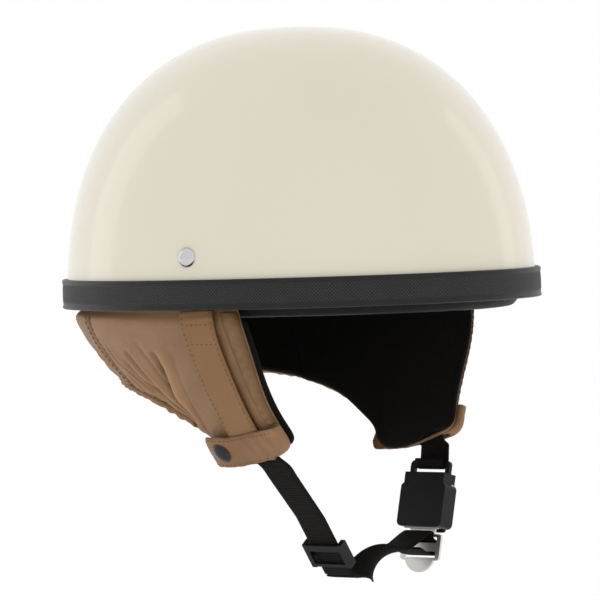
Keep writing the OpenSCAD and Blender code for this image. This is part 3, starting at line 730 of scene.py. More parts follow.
headband = ring_piece("headband_roll", headband_section, 240)
puff(headband, 4 * MM, 0.8 * MM)
stand_in(headband, roll_skin, "headband")
print("headband", len(headband.data.vertices), "points")

# %% [markdown]
# ## Edge trim
# The rubber channel is an extrusion bent round the rim: a round bead at the top, a flat embossed
# face, and a small bead below that catches the light. It's swept along the rim as one ring.

# %% Edge trim
trim_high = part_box("edge_trim")[1]
trim_out = trim_high[1] - half_l
trim_h = trim_high[2]


def arc(x, y, radius, start, end, steps):
    return [(x + radius * math.cos(math.radians(start + (end - start) * i / steps)),
             y + radius * math.sin(math.radians(start + (end - start) * i / steps)))
            for i in range(steps + 1)]


TOP_BEAD = 1.45 * MM
LOW_BEAD = 1.0 * MM
trim_line = (
    arc(trim_out - LOW_BEAD, LOW_BEAD, LOW_BEAD, -90, 50, 6)
    + [(trim_out - 0.45 * MM, 2.4 * MM), (trim_out - 0.2 * MM, 5 * MM),
       (trim_out - 0.2 * MM, 8 * MM), (trim_out - 0.25 * MM, 11 * MM),
       (trim_out - 0.5 * MM, trim_h - 3.0 * MM)]
    + arc(trim_out - TOP_BEAD - 0.05 * MM, trim_h - TOP_BEAD, TOP_BEAD, -20, 180, 10)
    + [(0.1 * MM, 9 * MM), (0.1 * MM, 2.4 * MM), (0, 1.9 * MM), (-3.9 * MM, 1.9 * MM),
       (-4.2 * MM, 2.4 * MM), (-4.3 * MM, 11.6 * MM), (-4.8 * MM, 12 * MM), (-5.5 * MM, 12 * MM),
       (-6 * MM, 11.5 * MM), (-6 * MM, 1 * MM)]
    + arc(-5 * MM, 1 * MM, 1 * MM, 180, 270, 4))


def trim_section(t):
    return [oval(FULL_TURN * t, half_l + x, z) for x, z in trim_line]


trim = ring_piece("rim_trim", trim_section, 288)
stand_in(trim, rubber, "edge_trim")
print("trim", round(trim_h * 1000, 1), "mm high,", len(trim_line), "points round")

# %% [markdown]
# ## The leather curtain
# One surface hangs from the rim to the hem. `u` runs from the nape to the front edge of an ear
# flap and `s` from the rim down, so each layer of the curtain (fleece, leather, webbing, sleeve,
# keeper) is the same surface moved out by its own distance.

# %% Curtain surface
FLAP_ANGLE = math.radians(107.5)
CURTAIN_RIM = -4 * MM
LEATHER_SLOT = -8.8 * MM
GAP = 0.3 * MM
NAPE_DROP = 38 * MM
FLAP_DROP = 85 * MM
SWELL = 5 * MM
RIM_TUCK = 0.06
FRONT_DIP = 0.02
FRONT_FROM = 0.8
# How far the hem lies inward, rearward and down from the rim, at nine even steps round.
HEM = np.array([(0, -30, 0), (2, -29, 0), (5, -30, 0.04), (11, -28, 0.11), (18, -22, 0.2),
                (27, -19, 0.39), (38, -12, 0.69), (43, 1, 1.02), (39, -15, 1)], float)


def spline(points, t):
    """A smooth curve through the points, which carries straight on past both ends."""
    points = np.asarray(points, float)
    last = len(points) - 1
    i = int(max(0, min(last - 1, math.floor(t * last))))
    f = t * last - i
    before = points[i - 1] if i else 2 * points[0] - points[1]
    after = points[i + 2] if i < last - 1 else 2 * points[last] - points[last - 1]
    p, q = points[i], points[i + 1]
    return 0.5 * (2 * p + (q - before) * f + (2 * before - 5 * p + 4 * q - after) * f * f
                  + (3 * p - before - 3 * q + after) * f ** 3)


def hem_point(u):
    inward, back, share = spline(HEM, u)
    rim = oval(FLAP_ANGLE * u, half_l + CURTAIN_RIM, 0)
    return np.array([rim[0] + inward * MM, rim[1] + back * MM,
                     -NAPE_DROP - (FLAP_DROP - NAPE_DROP) * share])


def curtain(u, s):
    """The outer face of the leather. A negative u is the mirror image, on the wearer's left."""
    if u < 0:
        return curtain(-u, s) * (-1, 1, 1)
    hollow = max(0, (u - FRONT_FROM) / (1 - FRONT_FROM)) ** 2
    u -= FRONT_DIP * hollow * math.sin(math.pi * max(0, min(1, s)) ** 1.5)
    top = oval(FLAP_ANGLE * u, half_l + CURTAIN_RIM, -GAP)
    low = hem_point(u)
    out = np.array([top[0] + low[0], top[1] + low[1], 0])
    out /= np.linalg.norm(out)
    swell = SWELL * math.sin(math.pi * max(0, min(1.3, s)) ** 0.8)
    tuck = (LEATHER_SLOT - CURTAIN_RIM) * math.exp(-(s / RIM_TUCK) ** 2)
    return top + (low - top) * s + out * (swell + tuck * (1 - 0.18 * math.sin(FLAP_ANGLE * u)))


def facing_out(u, s):
    step = 0.01
    du = curtain(u + step, s) - curtain(u - step, s)
    ds = curtain(u, s + step) - curtain(u, max(0.001, s - step))
    normal = np.cross(ds, du)
    return normal / np.linalg.norm(normal)


def layer(u, s, out):
    """The point that far outside the leather's face, in millimetres."""
    return curtain(u, s) + facing_out(u, max(0.1, s)) * out * MM


def corner_pull(u, s):
    """The flap's lower front corner is round: both directions pull in towards it."""
    return max(0, (abs(u) - 0.86) / 0.14) ** 2 * max(0, (s - 0.8) / 0.2) ** 2


def flap_layer(u, s, out):
    pull = corner_pull(u, s)
    return layer(u - math.copysign(0.04 * pull, u), s - 0.08 * pull, out)


print("flap reaches z", round(float(curtain(1, 1)[2]), 4))

# %% [markdown]
# ## Folds in the leather
# The hem is drawn in by an elastic, so the leather bunches into short ripples along it, and long
# folds run from the keeper's corner up into the panel. Each fold is a soft valley with a ridge
# beside it, laid along a line on the surface; the ripples grow towards the hem.

# %% Folds
# Length of the surface from the nape to the flap's front edge, in metres.
U_LENGTH = 0.262
# Each fold: its path in u and s, its half width and its depth in millimetres.
FOLDS = [
    ([(0.752, 0.93), (0.748, 0.83), (0.725, 0.70), (0.738, 0.46), (0.732, 0.32)], 2.4, 3.4),
    ([(0.775, 0.96), (0.742, 0.90), (0.678, 0.79), (0.620, 0.68), (0.590, 0.50)], 1.7, 2.6),
    ([(0.765, 0.99), (0.720, 0.935), (0.655, 0.90), (0.590, 0.86), (0.545, 0.72)], 1.5, 2.4),
    ([(0.735, 0.80), (0.712, 0.60), (0.705, 0.42), (0.685, 0.28)], 1.8, 1.3),
    ([(0.730, 0.86), (0.668, 0.70), (0.640, 0.52), (0.628, 0.38)], 1.7, 1.6),
    ([(0.680, 0.86), (0.610, 0.76), (0.560, 0.56), (0.548, 0.40)], 1.5, 1.7),
    ([(0.790, 0.95), (0.782, 0.72), (0.790, 0.45), (0.800, 0.28)], 1.9, 0.8),
    ([(0.46, 0.97), (0.44, 0.74), (0.40, 0.52)], 2.0, 1.6),
    ([(0.36, 0.97), (0.38, 0.70), (0.43, 0.45)], 2.2, 1.4),
    ([(0.24, 0.97), (0.25, 0.72), (0.22, 0.46)], 2.3, 1.3),
    ([(0.12, 0.97), (0.10, 0.70), (0.13, 0.50)], 2.2, 1.2),
    ([(0.015, 0.97), (0.012, 0.74), (0.02, 0.55)], 2.0, 1.0)]


def fold_map(us, ss):
    """How far the folds move the leather in or out over a grid of u and s, in millimetres."""
    drop = np.array([abs(hem_point(abs(u))[2]) for u in us]) * 1000
    u_grid, s_grid = np.meshgrid(np.abs(us), ss)
    x = u_grid * U_LENGTH * 1000
    y = s_grid * drop[None, :]
    total = np.zeros_like(x)
    for path, width, depth in FOLDS:
        ts = np.linspace(0, 1, 48)
        line = np.array([spline(path, t) for t in ts])
        px = line[:, 0] * U_LENGTH * 1000
        py = line[:, 1] * np.array([abs(hem_point(min(1, u))[2]) * 1000 for u in line[:, 0]])
        tx, ty = np.gradient(px), np.gradient(py)
        length = np.hypot(tx, ty)
        gap = np.hypot(x[..., None] - px, y[..., None] - py)
        near = gap.argmin(axis=2)
        side = ((x - px[near]) * ty[near] - (y - py[near]) * tx[near]) / length[near]
        off = gap.min(axis=2)
        signed = np.where(side > 0, off, -off)
        share = ts[near]
        fade = np.sin(np.pi * np.clip(share * 0.93 + 0.07, 0, 1)) ** 0.5
        reach = width * (0.75 + 0.7 * share)
        valley = np.exp(-(signed / reach) ** 2)
        ridge = np.exp(-((signed + 1.7 * reach) / (1.25 * reach)) ** 2)
        total += fade * depth * (0.75 * ridge - valley)
    low = np.clip((s_grid - 0.5) / 0.5, 0, 1) ** 1.6
    free = 1 / (1 + np.exp((u_grid - 0.80) * 70))
    gather = (np.sin(u_grid * 118 + 9 * s_grid + 2.0 * np.sin(u_grid * 29))
              + 0.6 * np.sin(u_grid * 207 - 6 * s_grid))
    total += 0.42 * low * free * gather
    total += 0.3 * np.sin(u_grid * 46 + 7 * s_grid) * np.sin(s_grid * 9 + 11 * u_grid)
    return total * np.clip(s_grid * 6, 0, 1)


SEAM = 0.5
SEAM_REACH = 0.012
LEATHER_T = 1.4
leather_s = [0.0, 0.012, 0.03, 0.05, 0.075, 0.1] + list(np.linspace(0.13, 1, 50))


def seam_dip(u):
    """The panel turns in where it meets its neighbour at the seam."""
    return -1.4 * math.exp(-(abs(abs(u) - SEAM) / SEAM_REACH) ** 2)


def leather_panel(name, us, ss, side=1):
    lift = fold_map(us, ss)
    dips = np.array([seam_dip(u) for u in us])
    lift += dips[None, :] * np.clip(np.array(ss)[:, None] * 12, 0, 1)
    low = np.clip(np.minimum(lift, 0), -9, 0)

    def tucked(u, offset):
        return oval(FLAP_ANGLE * u, half_l + LEATHER_SLOT + offset * MM, 7 * MM) * (side, 1, 1)

    outer = [[tucked(u, 0) for u in us]]
    outer += [[flap_layer(u, s, lift[i, j]) * (side, 1, 1) for j, u in enumerate(us)]
              for i, s in enumerate(ss)]
    inner = [[tucked(u, -1.3) for u in us]]
    inner += [[flap_layer(u, s, low[i, j] * 0.5 - LEATHER_T) * (side, 1, 1)
               for j, u in enumerate(us)] for i, s in enumerate(ss)]
    # Tone values follow the lift: painted shade in the fold valleys and the seam's dip, paler fold
    # ridges.
    rub_and_shade = np.vstack([np.zeros(len(us)), lift])
    return closed_sheet(name, outer, inner, 1, rub_and_shade)


nape = leather_panel("nape_leather", np.linspace(-SEAM + 0.002, SEAM - 0.002, 150), leather_s)
side_u = np.linspace(SEAM + 0.002, 1.0, 90)
side_right = leather_panel("side_leather_right", side_u, leather_s)
side_left = leather_panel("side_leather_left", side_u, leather_s, -1)
for piece, node in ((nape, "nape_panel"), (side_right, "side_panel_right"),
                    (side_left, "side_panel_left")):
    stand_in(piece, tan, node)
print("leather", sum(len(p.data.vertices) for p in (nape, side_right, side_left)), "points")

# %% [markdown]
# ## Fleece lining
# Thick black fleece backs the leather and stands a little past its front edge and its hem, so a
# dark line shows beside the tan. It's a soft pad, pumped up by the same short simulation. It's
# thinner than a voxel, so it keeps its own grid of points.

# %% Fleece lining
FLEECE_OUT = -LEATHER_T - 0.9
FLEECE_T = 3.2
fleece_s = [0.06, 0.1, 0.16] + list(np.linspace(0.22, 1.025, 24))


def fleece_pad(name, us, side=1):
    def row(s, out):
        return [flap_layer(u, s, out) * (side, 1, 1) for u in us]

    outer = [row(s, FLEECE_OUT) for s in fleece_s]
    inner = [row(s, FLEECE_OUT - FLEECE_T) for s in fleece_s]
    return closed_sheet(name, outer, inner)


# The pads overlap a little under the leather's seams, so that no light shows between them.
nape_fleece = fleece_pad("nape_fleece", np.linspace(-SEAM - 0.002, SEAM + 0.002, 80))
flap_u = np.linspace(SEAM - 0.002, 1.008, 44)
fleece_right = fleece_pad("flap_fleece_right", flap_u)
fleece_left = fleece_pad("flap_fleece_left", flap_u, -1)
for piece, node in ((nape_fleece, "nape_lining"), (fleece_right, "flap_lining_right"),
                    (fleece_left, "flap_lining_left")):
    puff(piece, None, 0.6 * MM)
    stand_in(piece, pile, node)
print("fleece pads ready")

# %% [markdown]
# ## Hem casing, sleeves and rolled front edges
# A narrow casing carries the elastic along the nape hem. A flat leather sleeve hides the webbing
# on each flap, and the flap's front edge is rolled over and sewn, so it stands up like a cord.

# %% Hem casing
casing_s = [0.925, 0.935, 0.955, 0.975, 0.985]
casing_rise = [0.3, 1.3, 1.7, 1.4, 0.3]
HEM_END = 0.72
casing_u = np.linspace(-HEM_END, HEM_END, 330)
casing_lift = np.maximum(fold_map(casing_u, casing_s), -0.6)
ruche = 0.25 * np.sin(casing_u * 310 + 3 * np.sin(casing_u * 47)) * np.sin(casing_u * 61)
# The casing's tone follows its fold lift: painted shade in the valleys, paler ridges.
casing = closed_sheet(
    "hem_casing",
    [[flap_layer(u, s, rise + casing_lift[i, j] + ruche[j] * (rise > 0.3))
      for j, u in enumerate(casing_u)] for i, (s, rise) in enumerate(zip(casing_s, casing_rise))],
    [[flap_layer(u, s, casing_lift[i, j] - 0.3) for j, u in enumerate(casing_u)]
     for i, s in enumerate(casing_s)], 1, casing_lift)
stand_in(casing, tan, "nape_elastic")
print("casing ready")


# %% Stitches
STITCH_PITCH, STITCH_LENGTH, STITCH_RADIUS = 3.0 * MM, 2.1 * MM, 0.27 * MM
# Each ring of a stitch: its place along it, its size, and its height in radii over the leather.
STITCH_RINGS = ((0, 0.45, -0.8), (0.18, 0.95, -0.1), (0.5, 1.1, 0.15), (0.82, 0.95, -0.1),
                (1, 0.45, -0.8))


def stitch_row(points, outs):
    """Small sunk capsules of thread along a line; outs are the surface's outward directions."""
    points = np.asarray(points, float)
    outs = np.asarray(outs, float)
    steps = np.concatenate([[0], np.cumsum(np.linalg.norm(np.diff(points, axis=0), axis=1))])
    count = max(1, int(steps[-1] / STITCH_PITCH))
    verts, faces = [], []

    def at(distance, values):
        return np.array([np.interp(distance, steps, values[:, k]) for k in range(3)])

    for i in range(count):
        middle = (i + 0.5) * steps[-1] / count
        a = at(middle - STITCH_LENGTH / 2, points)
        b = at(middle + STITCH_LENGTH / 2, points)
        out = at(middle, outs)
        out /= np.linalg.norm(out)
        way = (b - a) / max(1e-9, np.linalg.norm(b - a))
        across = np.cross(out, way)
        base = len(verts)
        for share, size, rise in STITCH_RINGS:
            centre = a + (b - a) * share + out * rise * STITCH_RADIUS
            for k in range(6):
                turn = FULL_TURN * k / 6
                verts.append(centre + (across * math.cos(turn) + out * 0.7 * math.sin(turn))
                             * STITCH_RADIUS * size)
        for ring in range(4):
            for k in range(6):
                p, q = base + ring * 6 + k, base + ring * 6 + (k + 1) % 6
                faces.append((p, q, q + 6, p + 6))
        faces.append(tuple(base + k for k in range(5, -1, -1)))
        faces.append(tuple(base + 24 + k for k in range(6)))
    return verts, faces


def stitching(name, rows, finish, body="root"):
    """One piece from several rows of stitches."""
    verts, faces = [], []
    for row in rows:
        more, sides = stitch_row(*row)
        faces += [tuple(len(verts) + i for i in side) for side in sides]
        verts += more
    piece = new_piece(name, verts, faces)
    wear(piece, finish)
    if body:
        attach(piece, body)
    return piece


# %% Where the webbing runs on the flap
WEB_W, WEB_T = 20.0, 1.6
CLEAR = 0.3
WEB_U = 0.9
WEB_SLANT = 0.035
WEB_N = CLEAR + WEB_T / 2
LIP_IN = -6 * MM
SLOT_ROOM = 0.4 * MM
WALL_ROOM = 3.2 * MM
# The flat webbing bows away from the curved lip at its edges.
WEB_BOW = (WEB_W * MM) ** 2 / (8 * half_l) - 0.25 * MM
WEB_LIP = LIP_IN - SLOT_ROOM - (WEB_T / 2 + CLEAR) * MM - WEB_BOW
RIVET_ANGLE = math.radians(95.5)
RIVET_Z = 28.5 * MM
FLAP_ROWS = [0.06, 0.14, 0.25, 0.4, 0.55, 0.7, 0.8, 0.87, 0.94, 1]


def web_frame(s, swing):
    """The webbing's middle, and the direction of its width, towards the face."""
    u = WEB_U + WEB_SLANT * s + swing * max(0, (s - 0.8) / 0.2) ** 2
    return layer(u, s, WEB_N), layer(u + 0.02, s, WEB_N) - layer(u - 0.02, s, WEB_N)


def rim_frame(offset, z):
    one = math.radians(1)
    return (oval(RIVET_ANGLE + one, half_l + offset, z),
            oval(RIVET_ANGLE + 4 * one, half_l + offset, z)
            - oval(RIVET_ANGLE - 2 * one, half_l + offset, z))


def wall_frame(z):
    lean = (float(dome_radius(z, 0)) - half_l) * half_w / half_l
    return rim_frame(lean - SHELL_T - WALL_ROOM, z)


strap_top = [wall_frame(RIVET_Z + 9 * MM), wall_frame(RIVET_Z), wall_frame(18 * MM),
             rim_frame(WEB_LIP, 12 * MM), rim_frame(WEB_LIP, 1 * MM)]


def through(frames, steps):
    """More frames along a smooth curve through the given ones."""
    centres = np.array([f[0] for f in frames])
    sides = np.array([f[1] / np.linalg.norm(f[1]) for f in frames])
    return [(spline(centres, i / steps), spline(sides, i / steps)) for i in range(steps + 1)]


def strip_rows(frames, width, rise, cross):
    """Rows across a strip: rise(row, share) is its height over the middle line."""
    rows = []
    for i, (centre, side) in enumerate(frames):
        side = side / np.linalg.norm(side)
        ahead = frames[min(len(frames) - 1, i + 1)][0] - frames[max(0, i - 1)][0]
        face = np.cross(ahead / np.linalg.norm(ahead), side)
        face /= np.linalg.norm(face)
        rows.append([centre + side * k * width / 2 * MM + face * rise(i, k) * MM for k in cross])
    return rows


print("webbing lies", WEB_N, "mm outside the leather")

# %% Sleeves
SLEEVE_W = 22.0
SLEEVE_T = 1.2
SLEEVE_UNDER = WEB_T / 2 + 0.35
sleeve_frames = [f for f in through(strap_top[3:] + [web_frame(s, 0) for s in FLAP_ROWS[:-1]], 90)
                 if f[0][2] < -0.3 * MM]


def sleeve_rise(i, k):
    """Soft turned edges, a slight crown, cross creases and a pinch at the box stitch."""
    share = i / (len(sleeve_frames) - 1)
    edge = 0.75 * max(0, (abs(k) - 0.88) / 0.12) ** 2
    crease = 0.20 * math.sin(95 * share + 1.5 * k) * math.exp(-((share - 0.10) / 0.12) ** 2)
    wave = 0.16 * math.sin(19 * share + 2.2 * k)
    return SLEEVE_UNDER + SLEEVE_T - edge + crease + wave + 0.25 * (1 - k * k)


HANDS = (("right", 1), ("left", -1))


def sleeve_piece(name, side):
    cross = np.linspace(-1, 1, 19)
    outer = strip_rows(sleeve_frames, SLEEVE_W, sleeve_rise, cross)
    inner = strip_rows(sleeve_frames, SLEEVE_W, lambda i, k: SLEEVE_UNDER, cross)
    # Low tone values along both turned edges: painted shade there.
    rub_and_shade = [[-1.6 * max(0, (abs(k) - 0.9) / 0.1) for k in cross] for _ in sleeve_frames]
    return closed_sheet(name, np.array(outer) * (side, 1, 1), np.array(inner) * (side, 1, 1), 1,
                        rub_and_shade)


def sleeve_rows(side):
    """Rows of stitches down both edges, and a box near the top."""
    normals = [np.cross(sleeve_frames[min(len(sleeve_frames) - 1, i + 1)][0]
                        - sleeve_frames[max(0, i - 1)][0], f[1])
               for i, f in enumerate(sleeve_frames)]
    rows = []
    mirror = np.array([side, 1, 1])
    for k in (-0.84, 0.84):
        edge = [row[0] for row in strip_rows(sleeve_frames, SLEEVE_W, sleeve_rise, [k])]
        rows.append((np.array(edge) * mirror, np.array(normals) * mirror))
    for share in (0.13, 0.27):
        i = int(share * (len(sleeve_frames) - 1))
        across = strip_rows(sleeve_frames, SLEEVE_W, sleeve_rise, np.linspace(-0.7, 0.7, 9))[i]
        rows.append((np.array(across) * mirror, np.array([normals[i]] * 9) * mirror))
    return rows


for hand, side in HANDS:
    sleeve = sleeve_piece("webbing_sleeve_" + hand, side)
    stand_in(sleeve, sleeve_tan, "strap_sleeve_" + hand)
    stitching("sleeve_stitches_" + hand, sleeve_rows(side), thread)
print("sleeves ready")

# %% Rolled front edges
ROLL_FROM = 0.957
ROLL_SLANT = 0.03
ROLL_END = 0.72
roll_s = np.linspace(0.012, ROLL_END, 90)
roll_cross = np.linspace(0, 1, 15)


def roll_u(s, v):
    start = ROLL_FROM + ROLL_SLANT * s
    return start + (0.999 - start) * v


def roll_rise(s, v):
    """A plump cord of leather, with short cross wrinkles that never quite line up."""
    wrinkle = 0.34 * math.sin(74 * s + 5 * v + 2 * math.sin(19 * s)) * math.sin(math.pi * v)
    wrinkle += 0.22 * math.sin(131 * s - 7 * v) * v
    plump = 2.5 * math.sin(math.pi * min(1, 0.06 + 0.94 * v)) ** 0.55
    return 0.3 + max(0, plump + wrinkle * min(1, 8 * s))


def front_roll_piece(name, side):
    outer = [[flap_layer(roll_u(s, v), s, roll_rise(s, v)) * (side, 1, 1) for v in roll_cross]
             for s in roll_s]
    inner = [[flap_layer(roll_u(s, v), s, 0.2) * (side, 1, 1) for v in roll_cross]
             for s in roll_s]
    # The cord's low flanks get low tone values, painted shade, and its crown a paler painted
    # highlight.
    rub_and_shade = [[1.1 * (roll_rise(s, v) - 2.2) for v in roll_cross] for s in roll_s]
    return closed_sheet(name, outer, inner, 1, rub_and_shade)


for hand, side in HANDS:
    roll = front_roll_piece("rolled_edge_" + hand, side)
    stand_in(roll, roll_tan_shaded, "front_roll_" + hand)
print("rolled edges ready")

# %% Stitches along the curtain's edges
mirror_x = np.array([-1, 1, 1])
edge_s = np.linspace(0.04, 0.70, 60)
seam_s = np.linspace(0.06, 0.90, 60)
hem_u = np.linspace(-HEM_END, HEM_END, 240)
HEM_STITCH_S = 0.915


def on_surface(pairs, out):
    return (np.array([flap_layer(u, s, out) for u, s in pairs]),
            np.array([facing_out(u, max(0.1, s)) for u, s in pairs]))


front_rows = [on_surface([(1.0015, s) for s in edge_s], -0.9)]
front_rows += [(front_rows[0][0] * mirror_x, front_rows[0][1] * mirror_x)]
stitching("front_edge_stitches", front_rows, dark_thread)
seam_rows = []
for u in (SEAM - 0.018, SEAM + 0.018):
    lift = fold_map([u], seam_s)[:, 0] + seam_dip(u)
    row = (np.array([flap_layer(u, s, h + 0.12) for s, h in zip(seam_s, lift)]),
           np.array([facing_out(u, s) for s in seam_s]))
    seam_rows += [row, (row[0] * mirror_x, row[1] * mirror_x)]
stitching("seam_stitches", seam_rows, thread)
hem_lift = fold_map(hem_u, [HEM_STITCH_S])[0]
hem_row = (np.array([flap_layer(u, HEM_STITCH_S, h + 0.12) for u, h in zip(hem_u, hem_lift)]),
           np.array([facing_out(u, HEM_STITCH_S) for u in hem_u]))
stitching("hem_stitches", [hem_row], thread)
print("curtain stitches ready")

# %% [markdown]
# ## Snap keepers
# A leather strap is folded and sewn at the flap's front edge, runs back over the sleeve and snaps
# onto a stud on the leather. It's one strap on the real helmet, so here it's one mesh too.

# %% Keepers
KEEPER_W = 17.0
KEEPER_N = WEB_T + SLEEVE_T + 4 * CLEAR
KEEPER_SEWN = CLEAR
KEEPER_FRONT_Z = -71.5
KEEPER_REAR_Z = -76.5
KEEPER_FLARE = 0.18
KEEPER_FOLD_U = 1.0
KEEPER_END_U = 0.79
KEEPER_SEWN_T = 0.03
SNAP_T = 0.66


def keeper_point(t, v, out):
    """t runs from the front fold to the rear end, v across from the top edge to the lower one."""
    u = KEEPER_FOLD_U + (KEEPER_END_U - KEEPER_FOLD_U) * t
    half = KEEPER_W / 2 * (1 + KEEPER_FLARE * max(0, 1 - 2 * t))
    z = KEEPER_FRONT_Z + (KEEPER_REAR_Z - KEEPER_FRONT_Z) * min(1, 2 * t) - v * half
    return flap_layer(u, z / (1000 * hem_point(u)[2]), out)


def keeper_fold(angle, v, out):
    """Round the flap's front edge, from 0 on the outside to 180 on the leather."""
    middle = (KEEPER_N + LEATHER_T + KEEPER_SEWN) / 2
    reach = middle - KEEPER_SEWN - LEATHER_T + out
    base = keeper_point(0, v, middle)
    ahead = base - keeper_point(0.03, v, middle)
    ahead /= np.linalg.norm(ahead)
    face = keeper_point(0, v, middle + 1) - base
    face /= np.linalg.norm(face)
    a = math.radians(angle)
    return base + (ahead * math.sin(a) + face * math.cos(a)) * reach * MM


def keeper_wave(t, v):
    """Worn leather: a lifted top front corner, a sag in the middle and fine cross creases."""
    corner = 1.5 * math.exp(-((t - 0.02) / 0.07) ** 2) * max(0, -v) ** 2
    crease = 0.22 * math.sin(58 * t + 3 * v) * math.exp(-((t - 0.15) / 0.2) ** 2)
    sag = 0.5 * math.sin(9 * t + 1.2) * (0.4 + 0.6 * v * v)
    return corner + crease + max(-0.25, sag)


def keeper_width(t):
    """A blunt point at the rear, and edges that were cut by eye."""
    blunt = 1 - 0.55 * max(0, (t - 0.86) / 0.14) ** 2
    return blunt * (1 + 0.012 * math.sin(31 * t) + 0.008 * math.sin(57 * t))


def keeper_piece(name, side):
    cross = np.linspace(-1, 1, 17)

    def top(t, v):
        flat = math.exp(-((t - SNAP_T) / 0.09) ** 2)
        edge = 0.45 * max(0, (abs(v) - 0.84) / 0.16) ** 2
        return KEEPER_N + LEATHER_T + keeper_wave(t, v) * (1 - flat) - edge

    def run(t, under):
        rows = []
        for v in cross:
            out = top(t, v) - (LEATHER_T - 0.05 if under else 0)
            rows.append(keeper_point(t, v * keeper_width(t), out) * (side, 1, 1))
        return rows

    def bend(angle, out):
        lift = keeper_wave(0.0, 0.0) * max(0, math.cos(math.radians(angle)))
        return [keeper_fold(angle, v, out + lift + keeper_wave(0.0, v) * 0.4
                            * max(0, math.cos(math.radians(angle)))) * (side, 1, 1)
                for v in cross]

    def sewn(t, out):
        return [keeper_point(t, v, out) * (side, 1, 1) for v in cross]

    outs = np.concatenate([np.linspace(1, 0.86, 8), np.linspace(0.84, 0.015, 52)])
    turns = np.linspace(14, 172, 18)
    ins = np.linspace(0.012, KEEPER_SEWN_T, 3)
    outer = ([run(t, False) for t in outs] + [bend(a, LEATHER_T) for a in turns]
             + [sewn(t, KEEPER_SEWN) for t in ins])
    inner = ([run(t, True) for t in outs] + [bend(a, 0) for a in turns]
             + [sewn(t, KEEPER_SEWN + LEATHER_T) for t in ins])
    # Tone values: the keeper's waves and creases, painted shade along both edges, and a paler fold
    # and sewn end.
    rub_and_shade = [[1.2 * keeper_wave(t, v) - 1.5 * max(0, (abs(v) - 0.85) / 0.15) for v in cross]
              for t in outs]
    rub_and_shade += [[0.8 - 2.0 * max(0, (abs(v) - 0.85) / 0.15) for v in cross]
               for _ in range(len(turns) + len(ins))]
    piece = closed_sheet(name, outer, inner, 1, rub_and_shade)

    def line(v, first, last):
        ts = np.linspace(first, last, 40)
        points = np.array([keeper_point(t, v * keeper_width(t), top(t, v) + 0.05) for t in ts])
        outs = np.array([keeper_point(t, v, KEEPER_N + 3) - keeper_point(t, v, KEEPER_N)
                         for t in ts])
        return points * (side, 1, 1), outs * (side, 1, 1)

    rows = [line(-0.8, 0.04, 0.93), line(0.8, 0.04, 0.93)]
    return piece, rows


for hand, side in HANDS:
    keeper, keeper_rows = keeper_piece("snap_keeper_" + hand, side)
    wear(keeper, keeper_tan)
    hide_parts("keeper_back_" + hand, "keeper_tab_" + hand)
    keeper_stitches = stitching("keeper_stitches_" + hand, keeper_rows, thread, None)
    fold = [float(c) for c in keeper_fold(20, 0, 0) * (side, 1, 1)]
    reach = [float(c) for c in keeper_point(0.06, 0, KEEPER_N) * (side, 1, 1)]
    for piece in (keeper, keeper_stitches):
        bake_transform(piece)
    dress_cad("snap_cap_" + hand, cap_black, 0.25 * MM)
    dress_cad("snap_socket_" + hand, steel)
    dress_cad("snap_stud_" + hand, steel)
print("keepers ready")

# %% [markdown]
# ## Rivets and their plates
# Turned and stamped metal keeps its CAD shape.

# %% Rivets
dress_cad("strap_rivets", chrome)
dress_cad("rivet_plates", steel, 0.3 * MM)
print("rivets ready")

# %% [markdown]
# ## Chin strap webbing
# Flat woven straps are modelled directly, as ribbons along a middle line with a width direction
# at each step, because a remesh would wipe out their thin edges. The route is the CAD's own.


# %% Ribbon helper
def ribbon(name, frames):
    cross = np.linspace(-1, 1, 15)

    def rise(i, k):
        return WEB_T / 2 * (1 - 0.55 * max(0, (abs(k) - 0.86) / 0.14))

    piece = closed_sheet(name, strip_rows(frames, WEB_W, rise, cross),
                         strip_rows(frames, WEB_W, lambda i, k: -rise(i, k), cross), 1)
    wear(piece, webbing)
    return piece


# %% Right strap
slider_at = np.array([-33.5, -41, -137]) * MM
slider_dir = np.array([0.58, 0, -0.81]) / math.hypot(0.58, 0.81)
SLIDER_SIDE = np.array([0.0, -1.0, 0.0])
RUN_UP, RUN_DOWN = 26 * MM, 15 * MM
RIGHT_SWING = 0.012
hem_middle, hem_side = web_frame(1, RIGHT_SWING)
hem_side = hem_side / np.linalg.norm(hem_side)
run_start = slider_at - slider_dir * RUN_UP
free_run = [(hem_middle + (run_start - hem_middle) * t, hem_side * (1 - t) + SLIDER_SIDE * t)
            for t in (0.2, 0.4, 0.6, 0.8, 1)]
right_frames = through(strap_top + [web_frame(s, RIGHT_SWING) for s in FLAP_ROWS] + free_run, 120)
right_frames += [(slider_at + slider_dir * RUN_DOWN * k / 12, SLIDER_SIDE)
                 for k in range(-18, 13)]
strap_right = ribbon("chin_strap_right", right_frames)
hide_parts("strap_right")
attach(strap_right, "root")
print("right strap", len(right_frames), "frames")

# %% Left strap and its loop on the buckle bar
bar_at = np.array([63.8, -40.5, -94.2]) * MM
BAR_HALF = 1.2
BAR_LAP = (BAR_HALF * math.sqrt(2) + CLEAR + WEB_T / 2) * MM


def mirrored(frames):
    return [(c * (-1, 1, 1), s * (-1, 1, 1)) for c, s in frames]


left_flap = mirrored(through(strap_top + [web_frame(s, 0.03) for s in FLAP_ROWS], 100))
BACK_WAY = np.array([0.0, -1.0, 0.0])
bar_loop = [(bar_at + BAR_LAP * np.array([math.cos(a), 0, math.sin(a)]), BACK_WAY)
            for a in np.radians(np.arange(20, -206, -15))]
bar_loop += [(bar_at + np.array([-BAR_LAP, 0, 3 * MM]), BACK_WAY)]
joined = through([left_flap[-4], bar_loop[0]], 8)[1:-1]
strap_left = ribbon("chin_strap_left", left_flap[:-3] + joined + bar_loop)
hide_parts("strap_left")
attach(strap_left, "root")
print("left strap ready")

